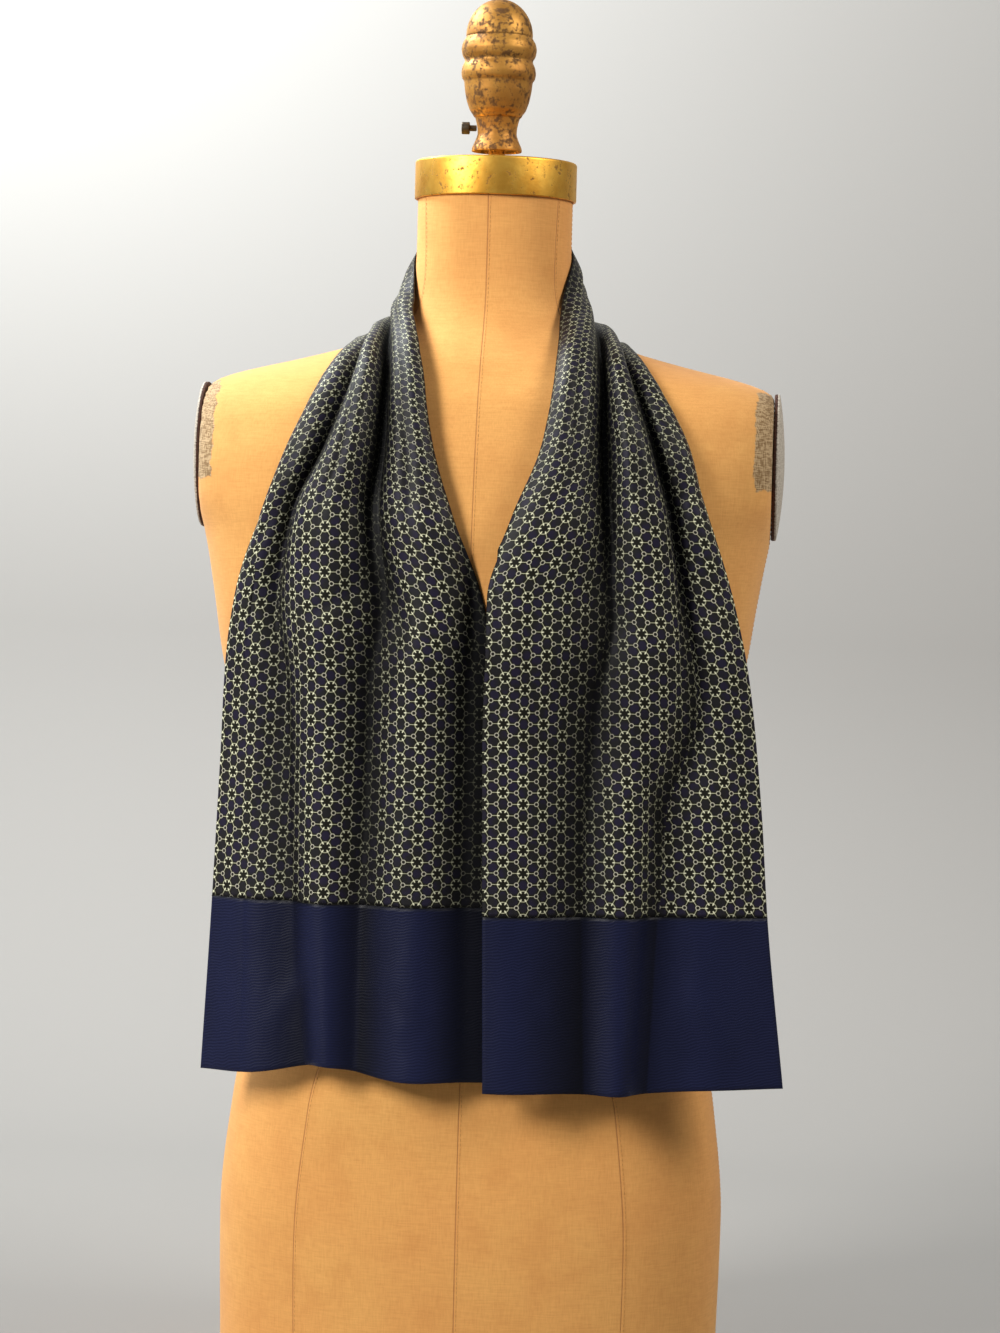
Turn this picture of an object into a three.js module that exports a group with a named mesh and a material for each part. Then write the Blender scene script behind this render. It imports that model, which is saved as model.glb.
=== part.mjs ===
// A printed silk cravat hung open round the neck of a limbless dress form.
// Millimetres, +Z up. The front faces -Y and +X is the viewer's right.
// The group is shifted at the end so that its origin is the middle of its footprint.

import * as THREE from 'three';

// Cloth: doubled silk, a long printed strip with a plain band at each end
const CLOTH_THICKNESS = 1.2;
const CLOTH_STANDOFF = 1.3; // from the form to the middle of the cloth
const SEAM_GAP = 0.3;
const CLOTH_LENGTH = 1470; // from hem to hem, measured on the cloth
const BAND_HEIGHT = 124;
const FRONT_LENGTH = 590; // from the hem to the top of the shoulder
const CHEST_HEIGHT = 590; // below this the fronts hang plumb
const CLING_FROM = 400; // from here up, measured on the cloth, it follows the form closely
const CLING_FULL = 520;
const PLEAT_ROUNDNESS = 2.4;
const OUTER_EDGE_TURN = 0.05; // share of the outer pleat that the outer edge cuts off

// Grid of each piece of cloth
const PLEAT_COLUMNS = [9, 7, 8];
const FRONT_ROWS = 28;
const NECK_ROWS = 22;
const BAND_ROWS = 7;

// Dress form
const BODY_SIDES = 36;
const RING_SPACING = 34;
const ARM_FACE = 208; // the armholes are cut flat at this distance from the middle
const ARM_BOARD = { thickness: 4, height: 107, depth: 84, middle: 676, sides: 28 };
const FIT_GAP = 0.3;
const BASE = { thickness: 12, halfWidth: 180, halfDepth: 108, squareness: 2.2, sides: 36 };
const CAP = { radius: 59.2, bore: 57.2, bottom: 866, top: 894, crown: 4, edge: 2.4, sides: 32 };
const FINIAL = { sides: 20, postRadius: 6, postTop: 904 };
const DOME = { radius: 24.4, foot: 986, height: 27, steps: 6 };
const SCREW_HEAD = { radius: 4.5, from: 20.3, to: 26 };
const SCREW = { height: 919, shaftRadius: 2.2, seat: 15.2, sides: 14 };

// Tables: each row is one section, each column has a name
const table = (columns, rows) =>
  rows.map((row) => Object.fromEntries(columns.map((name, k) => [name, row[k]])));

// Sections of the form's body: half width, depth to the front and to the back, squareness of the oval
const BODY = table(['height', 'halfWidth', 'front', 'back', 'square'], [
  [12.3, 184, 110, 110, 2.2],
  [120, 186, 114, 120, 2.2],
  [205, 178, 110, 116, 2.2],
  [270, 165, 104, 102, 2.2],
  [320, 158, 100, 90, 2.2],
  [367, 157, 100, 85, 2.2],
  [430, 169, 107, 87, 2.25],
  [484, 182, 115, 93, 2.3],
  [531, 193, 121, 101, 2.3],
  [577, 200, 126, 108, 2.3],
  [620, 208, 124, 114, 2.3],
  [650, 219, 119, 117, 2.3],
  [676, 222, 114, 116, 2.3],
  [700, 221, 107, 112, 2.25],
  [715, 217, 102, 108, 2.15],
  [725, 210, 97, 104, 2.0],
  [732, 200, 93, 101, 1.9],
  [738, 182, 90, 98, 1.8],
  [746, 148, 86, 93, 1.75],
  [752, 124, 82, 89, 1.75],
  [758, 103, 78, 84, 1.8],
  [765, 87, 73, 78, 1.85],
  [773, 75, 68, 71, 1.9],
  [783, 66, 63, 65, 2.0],
  [795, 60, 59.5, 60, 2.0],
  [810, 57.5, 57.5, 57.5, 2.0],
  [834, 56.6, 56.6, 56.6, 2.0],
  [866, 56.6, 56.6, 56.6, 2.0],
  [889.7, 56.6, 56.6, 56.6, 2.0],
]);

// Outline of the turned finial above its post: bell, neck, bowl and two rings
const FINIAL_OUTLINE = table(['radius', 'height'], [
  [15.5, 904], [17.2, 901.6], [18.4, 901.8], [18.2, 904.5], [16.2, 909],
  [14.2, 914], [14.6, 919], [15.8, 924], [16.6, 927],
  [18.4, 928.6], [20.6, 932], [23, 939], [24.4, 946], [25, 953],
  [26.8, 955.5], [27.4, 959], [26.6, 964], [25.2, 968],
  [26.8, 971.5], [27.6, 976], [26.8, 981], [25, 984],
]);

// Sections across the cloth. along: distance from that side's hem, on the cloth.
// in.. and out..: where the inner and the outer edge lie. tuck: share of the width that lies flat
// under the other front. foldA, foldB: the two long valleys, as shares of the width.
// edge: how far round its roll the inner edge stands. rise: height of the pleats.
// crease: 1 for sharp valleys, 0 for soft waves.
const CLOTH_COLUMNS = ['along', 'inX', 'inY', 'inZ', 'outX', 'outY', 'outZ',
  'tuck', 'foldA', 'foldB', 'edge', 'rise', 'crease'];
const LEFT_SECTIONS = table(CLOTH_COLUMNS, [
  [0, 25, -128, 237, -192, -82, 232, 0.08, 0.45, 0.62, 0, 7, 0.0],
  [124, 22, -128, 360, -187, -82, 357, 0.10, 0.45, 0.69, 0, 6, 0.2],
  [196, 22, -128, 431, -184, -82, 430, 0.11, 0.46, 0.72, 0, 6, 0.3],
  [276, 22, -128, 510, -180, -83, 510, 0.11, 0.46, 0.74, 0, 6, 0.5],
  [343, 9, -127, 577, -171, -88, 577, 0.04, 0.37, 0.80, 0, 7, 0.7],
  [403, -14, -121, 636, -151, -95, 636, 0, 0.39, 0.81, 0.15, 9, 1],
  [460, -30, -108, 686, -128, -84, 686, 0, 0.36, 0.73, 0.25, 10, 1],
  [510, -38, -90, 728, -108, -60, 727, 0, 0.39, 0.71, 0.3, 10, 1],
  [560, -46, -56, 769, -99, -20, 756, 0, 0.41, 0.70, 0.25, 10, 1],
  [590, -50, -36, 791, -98, 10, 758, 0, 0.42, 0.71, 0.12, 9, 0.8],
  [632, -57.5, -6, 820, -88, 50, 757, 0, 0.42, 0.70, 0, 7, 0.5],
  [677, -51, 31, 839, -55, 78, 756, 0, 0.38, 0.69, 0, 7, 0.6],
]);
const BACK_SECTION = table(CLOTH_COLUMNS, [[735, 0, 60, 846, 0, 90, 756, 0, 0.35, 0.68, 0.05, 8, 0.7]]);
const RIGHT_SECTIONS = table(CLOTH_COLUMNS, [
  [0, 18, -131, 231, 229, -85, 234, 0, 0.34, 0.55, 0.3, 7, 0.0],
  [124, 15, -131, 355, 215, -85, 355, 0, 0.35, 0.62, 0.3, 6, 0.2],
  [196, 13, -131, 426, 209, -85, 427, 0, 0.36, 0.66, 0.3, 6, 0.3],
  [276, 11, -130, 507, 199, -85, 508, 0, 0.40, 0.80, 0.3, 6, 0.5],
  [346, 11, -129, 577, 184, -89, 577, 0, 0.48, 0.79, 0.25, 7, 0.7],
  [403, 29, -122, 634, 164, -95, 638, 0, 0.46, 0.79, 0.2, 9, 1],
  [460, 48, -109, 688, 144, -84, 691, 0, 0.41, 0.74, 0.15, 10, 1],
  [510, 53, -90, 733, 119, -60, 725, 0, 0.47, 0.75, 0.12, 10, 1],
  [558, 53, -60, 768, 103, -22, 752, 0, 0.51, 0.80, 0.1, 10, 1],
  [588, 54, -38, 790, 97, 8, 759, 0, 0.50, 0.79, 0.06, 9, 0.8],
  [632, 57.5, -6, 820, 86, 50, 757, 0, 0.45, 0.75, 0, 7, 0.5],
  [677, 51, 31, 839, 55, 78, 756, 0, 0.38, 0.70, 0, 7, 0.6],
]);

// The whole strip, from the left hem over the back of the neck to the right hem
const fromRight = RIGHT_SECTIONS.map((row) => ({ ...row, along: CLOTH_LENGTH - row.along })).reverse();
const CLOTH = [...LEFT_SECTIONS, ...BACK_SECTION, ...fromRight];

// Small bends of the hems: the left one rises where its fold ends
const HEM_LIFT = { left: { at: 0.56, width: 0.16, height: 9 }, right: { at: 0.45, width: 0.2, height: -3 } };

// A smooth curve through one column of a table that never swings past its rows
function readColumn(rows, key, at, column) {
  let k = 0;
  while (k < rows.length - 2 && at > rows[k + 1][key]) k += 1;
  const span = (i) => rows[i + 1][key] - rows[i][key];
  const slope = (i) => (rows[i + 1][column] - rows[i][column]) / span(i);
  const tangent = (i) => {
    if (i === 0) return slope(0);
    if (i === rows.length - 1) return slope(i - 1);
    const before = slope(i - 1);
    const after = slope(i);
    if (before * after <= 0) return 0;
    return (2 * before * after) / (before + after);
  };
  const length = span(k);
  const share = THREE.MathUtils.clamp((at - rows[k][key]) / length, 0, 1);
  const cubed = share ** 3;
  const squared = share ** 2;
  return rows[k][column] * (2 * cubed - 3 * squared + 1)
    + rows[k + 1][column] * (3 * squared - 2 * cubed)
    + tangent(k) * length * (cubed - 2 * squared + share)
    + tangent(k + 1) * length * (cubed - squared);
}

const bodyAt = (height, column) => readColumn(BODY, 'height', height, column);
const clothAt = (along, column) => readColumn(CLOTH, 'along', along, column);

// How far the form reaches from its axis, in the direction of (x, y), at a height
function bodyReach(x, y, height) {
  const across = Math.abs(x) / bodyAt(height, 'halfWidth');
  const deep = Math.abs(y) / bodyAt(height, y < 0 ? 'front' : 'back');
  const power = bodyAt(height, 'square');
  return Math.hypot(x, y) / (across ** power + deep ** power) ** (1 / power);
}

// Distance from the form, with its chest carried straight down, and the way out of it
function outOfForm(point) {
  const clearance = (x, y, z) => Math.hypot(x, y) - bodyReach(x, y, Math.max(z, CHEST_HEIGHT));
  const step = 0.5;
  const { x, y, z } = point;
  const way = new THREE.Vector3(
    clearance(x + step, y, z) - clearance(x - step, y, z),
    clearance(x, y + step, z) - clearance(x, y - step, z),
    clearance(x, y, z + step) - clearance(x, y, z - step),
  ).divideScalar(2 * step);
  const steepness = way.length();
  return { distance: clearance(x, y, z) / steepness, way: way.divideScalar(steepness) };
}

// A point of the unpleated cloth: between its edges, then laid on the form
function restingPoint(along, across) {
  const edge = (side) =>
    new THREE.Vector3(...['X', 'Y', 'Z'].map((axis) => clothAt(along, side + axis)));
  const point = edge('in').lerp(edge('out'), across);
  const fromHem = Math.min(along, CLOTH_LENGTH - along);
  const cling = THREE.MathUtils.smoothstep(fromHem, CLING_FROM, CLING_FULL);
  for (let pass = 0; pass < 5; pass += 1) {
    const { distance, way } = outOfForm(point);
    const excess = distance - CLOTH_STANDOFF;
    point.addScaledVector(way, excess < 0 ? -excess : -excess * cling);
  }
  return point;
}

// Height of the pleats over the resting cloth
function pleatRise(along, across) {
  const folds = [clothAt(along, 'tuck'), clothAt(along, 'foldA'), clothAt(along, 'foldB'), 1];
  const pleat = across < folds[1] ? 0 : across < folds[2] ? 1 : 2;
  const width = folds[pleat + 1] - folds[pleat];
  let round = THREE.MathUtils.clamp((across - folds[pleat]) / width, 0, 1);
  const edge = clothAt(along, 'edge');
  if (pleat === 0) round = edge + (1 - edge) * round;
  if (pleat === 2) round *= 1 - OUTER_EDGE_TURN;
  const sharp = 1 - Math.abs(2 * round - 1) ** PLEAT_ROUNDNESS;
  const soft = (1 - Math.cos(2 * Math.PI * round)) / 2;
  const crease = clothAt(along, 'crease');
  return clothAt(along, 'rise') * Math.sqrt(3 * width) * (crease * sharp + (1 - crease) * soft);
}

// How much a hem is lifted, fading out towards the seam
function hemLift(along, across) {
  const left = along < CLOTH_LENGTH / 2;
  const { at, width, height } = left ? HEM_LIFT.left : HEM_LIFT.right;
  const fromHem = left ? along : CLOTH_LENGTH - along;
  const fade = Math.max(0, 1 - fromHem / BAND_HEIGHT) ** 2;
  return height * fade * Math.exp(-(((across - at) / width) ** 2));
}

const awayFrom = (alongStep, acrossStep) =>
  new THREE.Vector3().crossVectors(alongStep, acrossStep).normalize();

// The middle of the pleated cloth
function clothPoint(along, across) {
  const step = { along: 2, across: 0.01 };
  const low = Math.max(0, across - step.across);
  const high = Math.min(1, across + step.across);
  const before = Math.max(0, along - step.along);
  const after = Math.min(CLOTH_LENGTH, along + step.along);
  const outward = awayFrom(
    restingPoint(after, across).sub(restingPoint(before, across)),
    restingPoint(along, high).sub(restingPoint(along, low)),
  );
  const point = restingPoint(along, across).addScaledVector(outward, pleatRise(along, across));
  point.z += hemLift(along, across);
  return point;
}

// Shares of the width at which the cloth is cut into columns, with a column on each valley
function columnShares(along) {
  const folds = [0, clothAt(along, 'foldA'), clothAt(along, 'foldB'), 1];
  const shares = [0];
  PLEAT_COLUMNS.forEach((count, pleat) => {
    for (let k = 1; k <= count; k += 1) {
      shares.push(THREE.MathUtils.lerp(folds[pleat], folds[pleat + 1], k / count));
    }
  });
  return shares;
}

// A closed wall of cloth between two places along the strip
function clothWall(from, to, rowCount) {
  const rows = [];
  for (let i = 0; i < rowCount; i += 1) {
    const along = THREE.MathUtils.lerp(from, to, i / (rowCount - 1));
    rows.push(columnShares(along).map((across) => clothPoint(along, across)));
  }
  const columnCount = rows[0].length;
  const lastRow = rowCount - 1;
  const lastColumn = columnCount - 1;
  const outward = (i, j) => awayFrom(
    rows[Math.min(i + 1, lastRow)][j].clone().sub(rows[Math.max(i - 1, 0)][j]),
    rows[i][Math.min(j + 1, lastColumn)].clone().sub(rows[i][Math.max(j - 1, 0)]),
  );
  const positions = [];
  [1, -1].forEach((face) => {
    rows.forEach((row, i) => row.forEach((middle, j) => {
      const point = middle.clone().addScaledVector(outward(i, j), (face * CLOTH_THICKNESS) / 2);
      positions.push(point.x, point.y, point.z);
    }));
  });
  const index = [];
  const quad = (a, b, c, d) => index.push(a, b, c, a, c, d);
  const front = (i, j) => i * columnCount + j;
  const back = (i, j) => rowCount * columnCount + front(i, j);
  for (let i = 0; i < lastRow; i += 1) {
    for (let j = 0; j < lastColumn; j += 1) {
      quad(front(i, j), front(i + 1, j), front(i + 1, j + 1), front(i, j + 1));
      quad(back(i, j), back(i, j + 1), back(i + 1, j + 1), back(i + 1, j));
    }
    quad(front(i, 0), back(i, 0), back(i + 1, 0), front(i + 1, 0));
    quad(front(i, lastColumn), front(i + 1, lastColumn), back(i + 1, lastColumn), back(i, lastColumn));
  }
  for (let j = 0; j < lastColumn; j += 1) {
    quad(front(0, j), front(0, j + 1), back(0, j + 1), back(0, j));
    quad(front(lastRow, j), back(lastRow, j), back(lastRow, j + 1), front(lastRow, j + 1));
  }
  return solidFrom(positions, index);
}

function solidFrom(positions, index) {
  const geometry = new THREE.BufferGeometry();
  geometry.setAttribute('position', new THREE.Float32BufferAttribute(positions, 3));
  geometry.setIndex(index);
  geometry.computeVertexNormals();
  return geometry;
}

// The form's body, from rings, with flat faces at the armholes
function bodySolid() {
  const heights = [BODY[0].height];
  for (let k = 1; k < BODY.length; k += 1) {
    const parts = Math.ceil((BODY[k].height - BODY[k - 1].height) / RING_SPACING);
    for (let part = 1; part <= parts; part += 1) {
      heights.push(THREE.MathUtils.lerp(BODY[k - 1].height, BODY[k].height, part / parts));
    }
  }
  const positions = [];
  heights.forEach((height) => {
    for (let side = 0; side < BODY_SIDES; side += 1) {
      const turn = (2 * Math.PI * side) / BODY_SIDES;
      const x = Math.cos(turn);
      const y = Math.sin(turn);
      const reach = bodyReach(x, y, height);
      positions.push(THREE.MathUtils.clamp(x * reach, -ARM_FACE, ARM_FACE), y * reach, height);
    }
  });
  const index = [];
  const ringStart = (ring) => ring * BODY_SIDES;
  const lastRing = heights.length - 1;
  for (let side = 0; side < BODY_SIDES; side += 1) {
    const next = (side + 1) % BODY_SIDES;
    for (let ring = 0; ring < lastRing; ring += 1) {
      const [low, high] = [ringStart(ring), ringStart(ring + 1)];
      index.push(low + side, low + next, high + next, low + side, high + next, high + side);
    }
  }
  const bottomMiddle = positions.length / 3;
  positions.push(0, 0, heights[0], 0, 0, heights[lastRing]);
  for (let side = 0; side < BODY_SIDES; side += 1) {
    const next = (side + 1) % BODY_SIDES;
    index.push(bottomMiddle, next, side);
    index.push(bottomMiddle + 1, ringStart(lastRing) + side, ringStart(lastRing) + next);
  }
  return solidFrom(positions, index);
}

// A board with an oval outline, lying in the XY plane
function ovalBoard(halfWidth, halfDepth, square, thickness, sides) {
  const outline = [];
  for (let side = 0; side < sides; side += 1) {
    const turn = (2 * Math.PI * side) / sides;
    const x = Math.cos(turn);
    const y = Math.sin(turn);
    const sum = Math.abs(x / halfWidth) ** square + Math.abs(y / halfDepth) ** square;
    const reach = sum ** (-1 / square);
    outline.push(new THREE.Vector2(x * reach, y * reach));
  }
  return new THREE.ExtrudeGeometry(new THREE.Shape(outline), { depth: thickness, bevelEnabled: false });
}

function armBoard(side) {
  const { thickness, height, depth, middle, sides } = ARM_BOARD;
  const board = ovalBoard(height / 2, depth / 2, 2, thickness, sides);
  board.rotateY(Math.PI / 2);
  const inner = ARM_FACE + FIT_GAP;
  board.translate(side > 0 ? inner : -inner - thickness, 0, middle);
  return board;
}

// Turned pieces: a profile of (radius, height) points spun about the vertical axis
function turned(profile, sides) {
  const lathe = new THREE.LatheGeometry(profile.map(([r, z]) => new THREE.Vector2(r, z)), sides);
  lathe.rotateX(Math.PI / 2);
  return lathe;
}

function neckCap() {
  const { radius, bore, bottom, top, crown, edge, sides } = CAP;
  return turned([
    [0, top - crown],
    [bore, top - crown],
    [bore, bottom],
    [radius, bottom],
    [radius, top - edge],
    [radius - edge * 0.3, top - edge * 0.3],
    [radius - edge, top],
    [0, top],
  ], sides);
}

function finial() {
  const { sides, postRadius, postTop } = FINIAL;
  const seat = CAP.top + FIT_GAP;
  const profile = [[0, seat], [postRadius, seat], [postRadius, postTop]];
  FINIAL_OUTLINE.forEach(({ radius, height }) => profile.push([radius, height]));
  for (let step = 0; step < DOME.steps; step += 1) {
    const lift = (step / DOME.steps) * (Math.PI / 2);
    profile.push([DOME.radius * Math.cos(lift), DOME.foot + DOME.height * Math.sin(lift)]);
  }
  profile.push([0, DOME.foot + DOME.height]);
  return turned(profile, sides);
}

function finialScrew() {
  const { height, shaftRadius, seat, sides } = SCREW;
  const screw = turned([
    [0, seat],
    [shaftRadius, seat],
    [shaftRadius, SCREW_HEAD.from],
    [SCREW_HEAD.radius, SCREW_HEAD.from],
    [SCREW_HEAD.radius, SCREW_HEAD.to],
    [0, SCREW_HEAD.to],
  ], sides);
  screw.rotateY(-Math.PI / 2);
  screw.translate(0, 0, height);
  return screw;
}

const material = (color, roughness, metalness = 0) =>
  new THREE.MeshStandardMaterial({ color, roughness, metalness });
const COLOURS = {
  print: [0x4a4b45, 0.62],
  navy: [0x171b38, 0.42],
  linen: [0xd8a35e, 0.85],
  board: [0xb9a98a, 0.8],
  brass: [0xb58a2c, 0.32, 0.9],
  gilt: [0x9c7430, 0.5, 0.55],
  steel: [0x4a4540, 0.45, 0.8],
  wood: [0x8a6238, 0.7],
};

// Where each piece of cloth begins and ends along the strip
const seamGap = SEAM_GAP / 2;
const leftSeam = BAND_HEIGHT;
const leftShoulder = FRONT_LENGTH;
const rightShoulder = CLOTH_LENGTH - FRONT_LENGTH;
const rightSeam = CLOTH_LENGTH - BAND_HEIGHT;
const baseBoard = ovalBoard(BASE.halfWidth, BASE.halfDepth, BASE.squareness, BASE.thickness, BASE.sides);

const PIECES = [
  ['left_front', clothWall(leftSeam + seamGap, leftShoulder - seamGap, FRONT_ROWS), COLOURS.print],
  ['neck_stretch', clothWall(leftShoulder + seamGap, rightShoulder - seamGap, NECK_ROWS), COLOURS.print],
  ['right_front', clothWall(rightShoulder + seamGap, rightSeam - seamGap, FRONT_ROWS), COLOURS.print],
  ['left_end_band', clothWall(0, leftSeam - seamGap, BAND_ROWS), COLOURS.navy],
  ['right_end_band', clothWall(rightSeam + seamGap, CLOTH_LENGTH, BAND_ROWS), COLOURS.navy],
  ['form_body', bodySolid(), COLOURS.linen],
  ['arm_board_left', armBoard(-1), COLOURS.board],
  ['arm_board_right', armBoard(1), COLOURS.board],
  ['neck_cap', neckCap(), COLOURS.brass],
  ['finial', finial(), COLOURS.gilt],
  ['finial_screw', finialScrew(), COLOURS.steel],
  ['base_board', baseBoard, COLOURS.wood],
];

const group = new THREE.Group();
PIECES.forEach(([name, geometry, finish]) => {
  const mesh = new THREE.Mesh(geometry, material(...finish));
  mesh.name = name;
  group.add(mesh);
});

// Put the origin in the middle of the footprint
const box = new THREE.Box3().setFromObject(group);
const middle = box.getCenter(new THREE.Vector3());
group.position.set(-middle.x, -middle.y, -box.min.z);
group.updateMatrixWorld(true);

export default group;
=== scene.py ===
"""A printed silk cravat with navy ends, hung open round the neck of a limbless dress form."""

import math

import bpy
import numpy as np
from bpy.props import FloatProperty, FloatVectorProperty, PointerProperty
from mathutils import Matrix, Vector


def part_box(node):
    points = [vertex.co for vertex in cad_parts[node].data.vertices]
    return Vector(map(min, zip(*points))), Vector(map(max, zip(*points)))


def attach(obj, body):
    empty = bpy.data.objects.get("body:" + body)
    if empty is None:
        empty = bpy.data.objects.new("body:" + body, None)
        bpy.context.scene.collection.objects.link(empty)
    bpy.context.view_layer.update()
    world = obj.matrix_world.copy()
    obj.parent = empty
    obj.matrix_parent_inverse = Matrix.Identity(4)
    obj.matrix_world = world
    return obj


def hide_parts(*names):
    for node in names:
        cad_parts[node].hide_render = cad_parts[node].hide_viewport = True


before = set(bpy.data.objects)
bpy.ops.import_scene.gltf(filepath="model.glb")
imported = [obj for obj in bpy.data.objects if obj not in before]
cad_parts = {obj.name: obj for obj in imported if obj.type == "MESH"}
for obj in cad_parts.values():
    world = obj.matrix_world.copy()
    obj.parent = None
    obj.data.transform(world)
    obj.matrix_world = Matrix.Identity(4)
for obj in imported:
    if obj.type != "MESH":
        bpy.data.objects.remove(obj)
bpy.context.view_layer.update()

bl_info = {
    "name": "Printed cravat on a dress form",
    "version": (1, 0, 0),
    "blender": (4, 5, 0),
    "location": "View3D > Sidebar > Cravat",
    "description": "A silk cravat with plain ends, worn by a dress form with a turned finial",
    "category": "Add Mesh",
}

# The tables are in millimetres from the form's axis, front towards -Y, viewer's right +X
low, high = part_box("neck_cap")
AXIS = np.array([(low[0] + high[0]) / 2, (low[1] + high[1]) / 2, 0.0])

CLOTH_STANDOFF = 1.3  # from the form to the middle of the cloth
LEAST_STANDOFF = 1.2  # no crease takes the middle of the cloth nearer than this to the form
CLOTH_LENGTH = 1470
BAND_HEIGHT = 124
CHEST_HEIGHT = 590  # below this the fronts hang plumb
CLING_FROM = 400  # from here up the cloth follows the form closely
CLING_FULL = 520
PLEAT_ROUNDNESS = 2.4
VALLEY_STEEPNESS = 2.6  # of the flanks that dip into the long valleys
VALLEY_FLOOR = 0.12  # share of a pleat that lies at the bottom of a sharp valley
OUTER_EDGE_TURN = 0.05
PLEAT_COLUMNS = (34, 28, 28)
ROW_SPACING = 3.0
ARM_FACE = 208
ARM_DOME = 4.5
SCREW_HEIGHT = 0.919  # of the thumbscrew's axis, in metres
BOARD_SHADE_REACH = 0.2113  # the painted shade of the gap between the arm boards and the form reaches this far from the axis, in metres
RUBBED_FROM, RUBBED_HEIGHT, RUBBED_HALF = 0.2, 0.694, 0.04  # rubbed linen by the arm boards, in metres

# The print, in repeats from the middle of a star
STAR_RADIUS = 0.236
KNOT_REACH, KNOT_LENGTH, KNOT_WIDTH = 0.208, 0.075, 0.034
SPOKE_START, SPOKE_END = 0.24, 0.49
CELL_REACH, CELL_LENGTH, CELL_WIDTH = 0.5, 0.222, 0.178
RING_ASIDE, RING_RADIUS = 0.2887, 0.088
TAN_60, COS_30, SIN_30 = 1.7321, 0.8660, 0.5

# The camera and the backdrop, in metres, degrees, and pixels of the photo
CAMERA_DISTANCE, CAMERA_HEIGHT = 2.5, 0.64
CAMERA_TURN, CAMERA_ROLL = 5, 1.46
FOCAL_LENGTH, PHOTO_HEIGHT, AIM_ASIDE, AIM_DOWN = 3392, 1333, 16.3, 156.2
SENSOR_SIZE = 36.0
FLOOR_REACH, SWEEP_RADIUS, BACKDROP_REACH = 0.8, 0.5, 5.0


class Table:
    """Rows of numbers with named columns, read between rows on a curve that never swings past them."""

    def __init__(self, columns, rows):
        self.values = dict(zip(columns, np.array(rows, float).T))
        self.key = self.values[columns[0]]

    def at(self, where, column):
        where = np.asarray(where, float)
        key, value = self.key, self.values[column]
        span = np.diff(key)
        slope = np.diff(value) / span
        before, after = slope[:-1], slope[1:]
        same_way = before * after > 0
        both = np.where(same_way, before + after, 1.0)
        tangent = np.concatenate(
            [slope[:1], np.where(same_way, 2 * before * after / both, 0.0), slope[-1:]]
        )
        k = np.clip(np.searchsorted(key, where, side="right") - 1, 0, len(key) - 2)
        share = np.clip((where - key[k]) / span[k], 0, 1)
        squared, cubed = share**2, share**3
        return (
            value[k] * (2 * cubed - 3 * squared + 1)
            + value[k + 1] * (3 * squared - 2 * cubed)
            + tangent[k] * span[k] * (cubed - 2 * squared + share)
            + tangent[k + 1] * span[k] * (cubed - squared)
        )


FORM = Table(
    ("height", "half_width", "front", "back", "square"),
    [
        (12.3, 184, 110, 110, 2.2),
        (120, 186, 114, 120, 2.2),
        (205, 178, 110, 116, 2.2),
        (270, 165, 104, 102, 2.2),
        (320, 158, 100, 90, 2.2),
        (367, 157, 100, 85, 2.2),
        (430, 169, 107, 87, 2.25),
        (484, 182, 115, 93, 2.3),
        (531, 193, 121, 101, 2.3),
        (577, 200, 126, 108, 2.3),
        (620, 208, 124, 114, 2.3),
        (650, 219, 119, 117, 2.3),
        (676, 222, 114, 116, 2.3),
        (700, 221, 107, 112, 2.25),
        (715, 217, 102, 108, 2.15),
        (725, 210, 97, 104, 2.0),
        (732, 200, 93, 101, 1.9),
        (738, 182, 90, 98, 1.8),
        (746, 148, 86, 93, 1.75),
        (752, 124, 82, 89, 1.75),
        (758, 103, 78, 84, 1.8),
        (765, 87, 73, 78, 1.85),
        (773, 75, 68, 71, 1.9),
        (783, 66, 63, 65, 2.0),
        (795, 60, 59.5, 60, 2.0),
        (810, 57.5, 57.5, 57.5, 2.0),
        (834, 56.6, 56.6, 56.6, 2.0),
        (866, 56.6, 56.6, 56.6, 2.0),
        (889.7, 56.6, 56.6, 56.6, 2.0),
    ],
)

# Seams of the form's cover: how far round from the centre front, in degrees, at each height
SEAM_NAMES = ("front_panel", "side", "back_panel")
FORM_SEAMS = Table(
    ("height", *SEAM_NAMES),
    [
        (12.3, 53, 93, 135),
        (205, 51, 92, 136),
        (367, 38, 90, 142),
        (590, 42, 90, 140),
        (700, 48, 90, 133),
        (760, 52, 90, 128),
        (889.7, 60, 90, 120),
    ],
)

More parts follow.
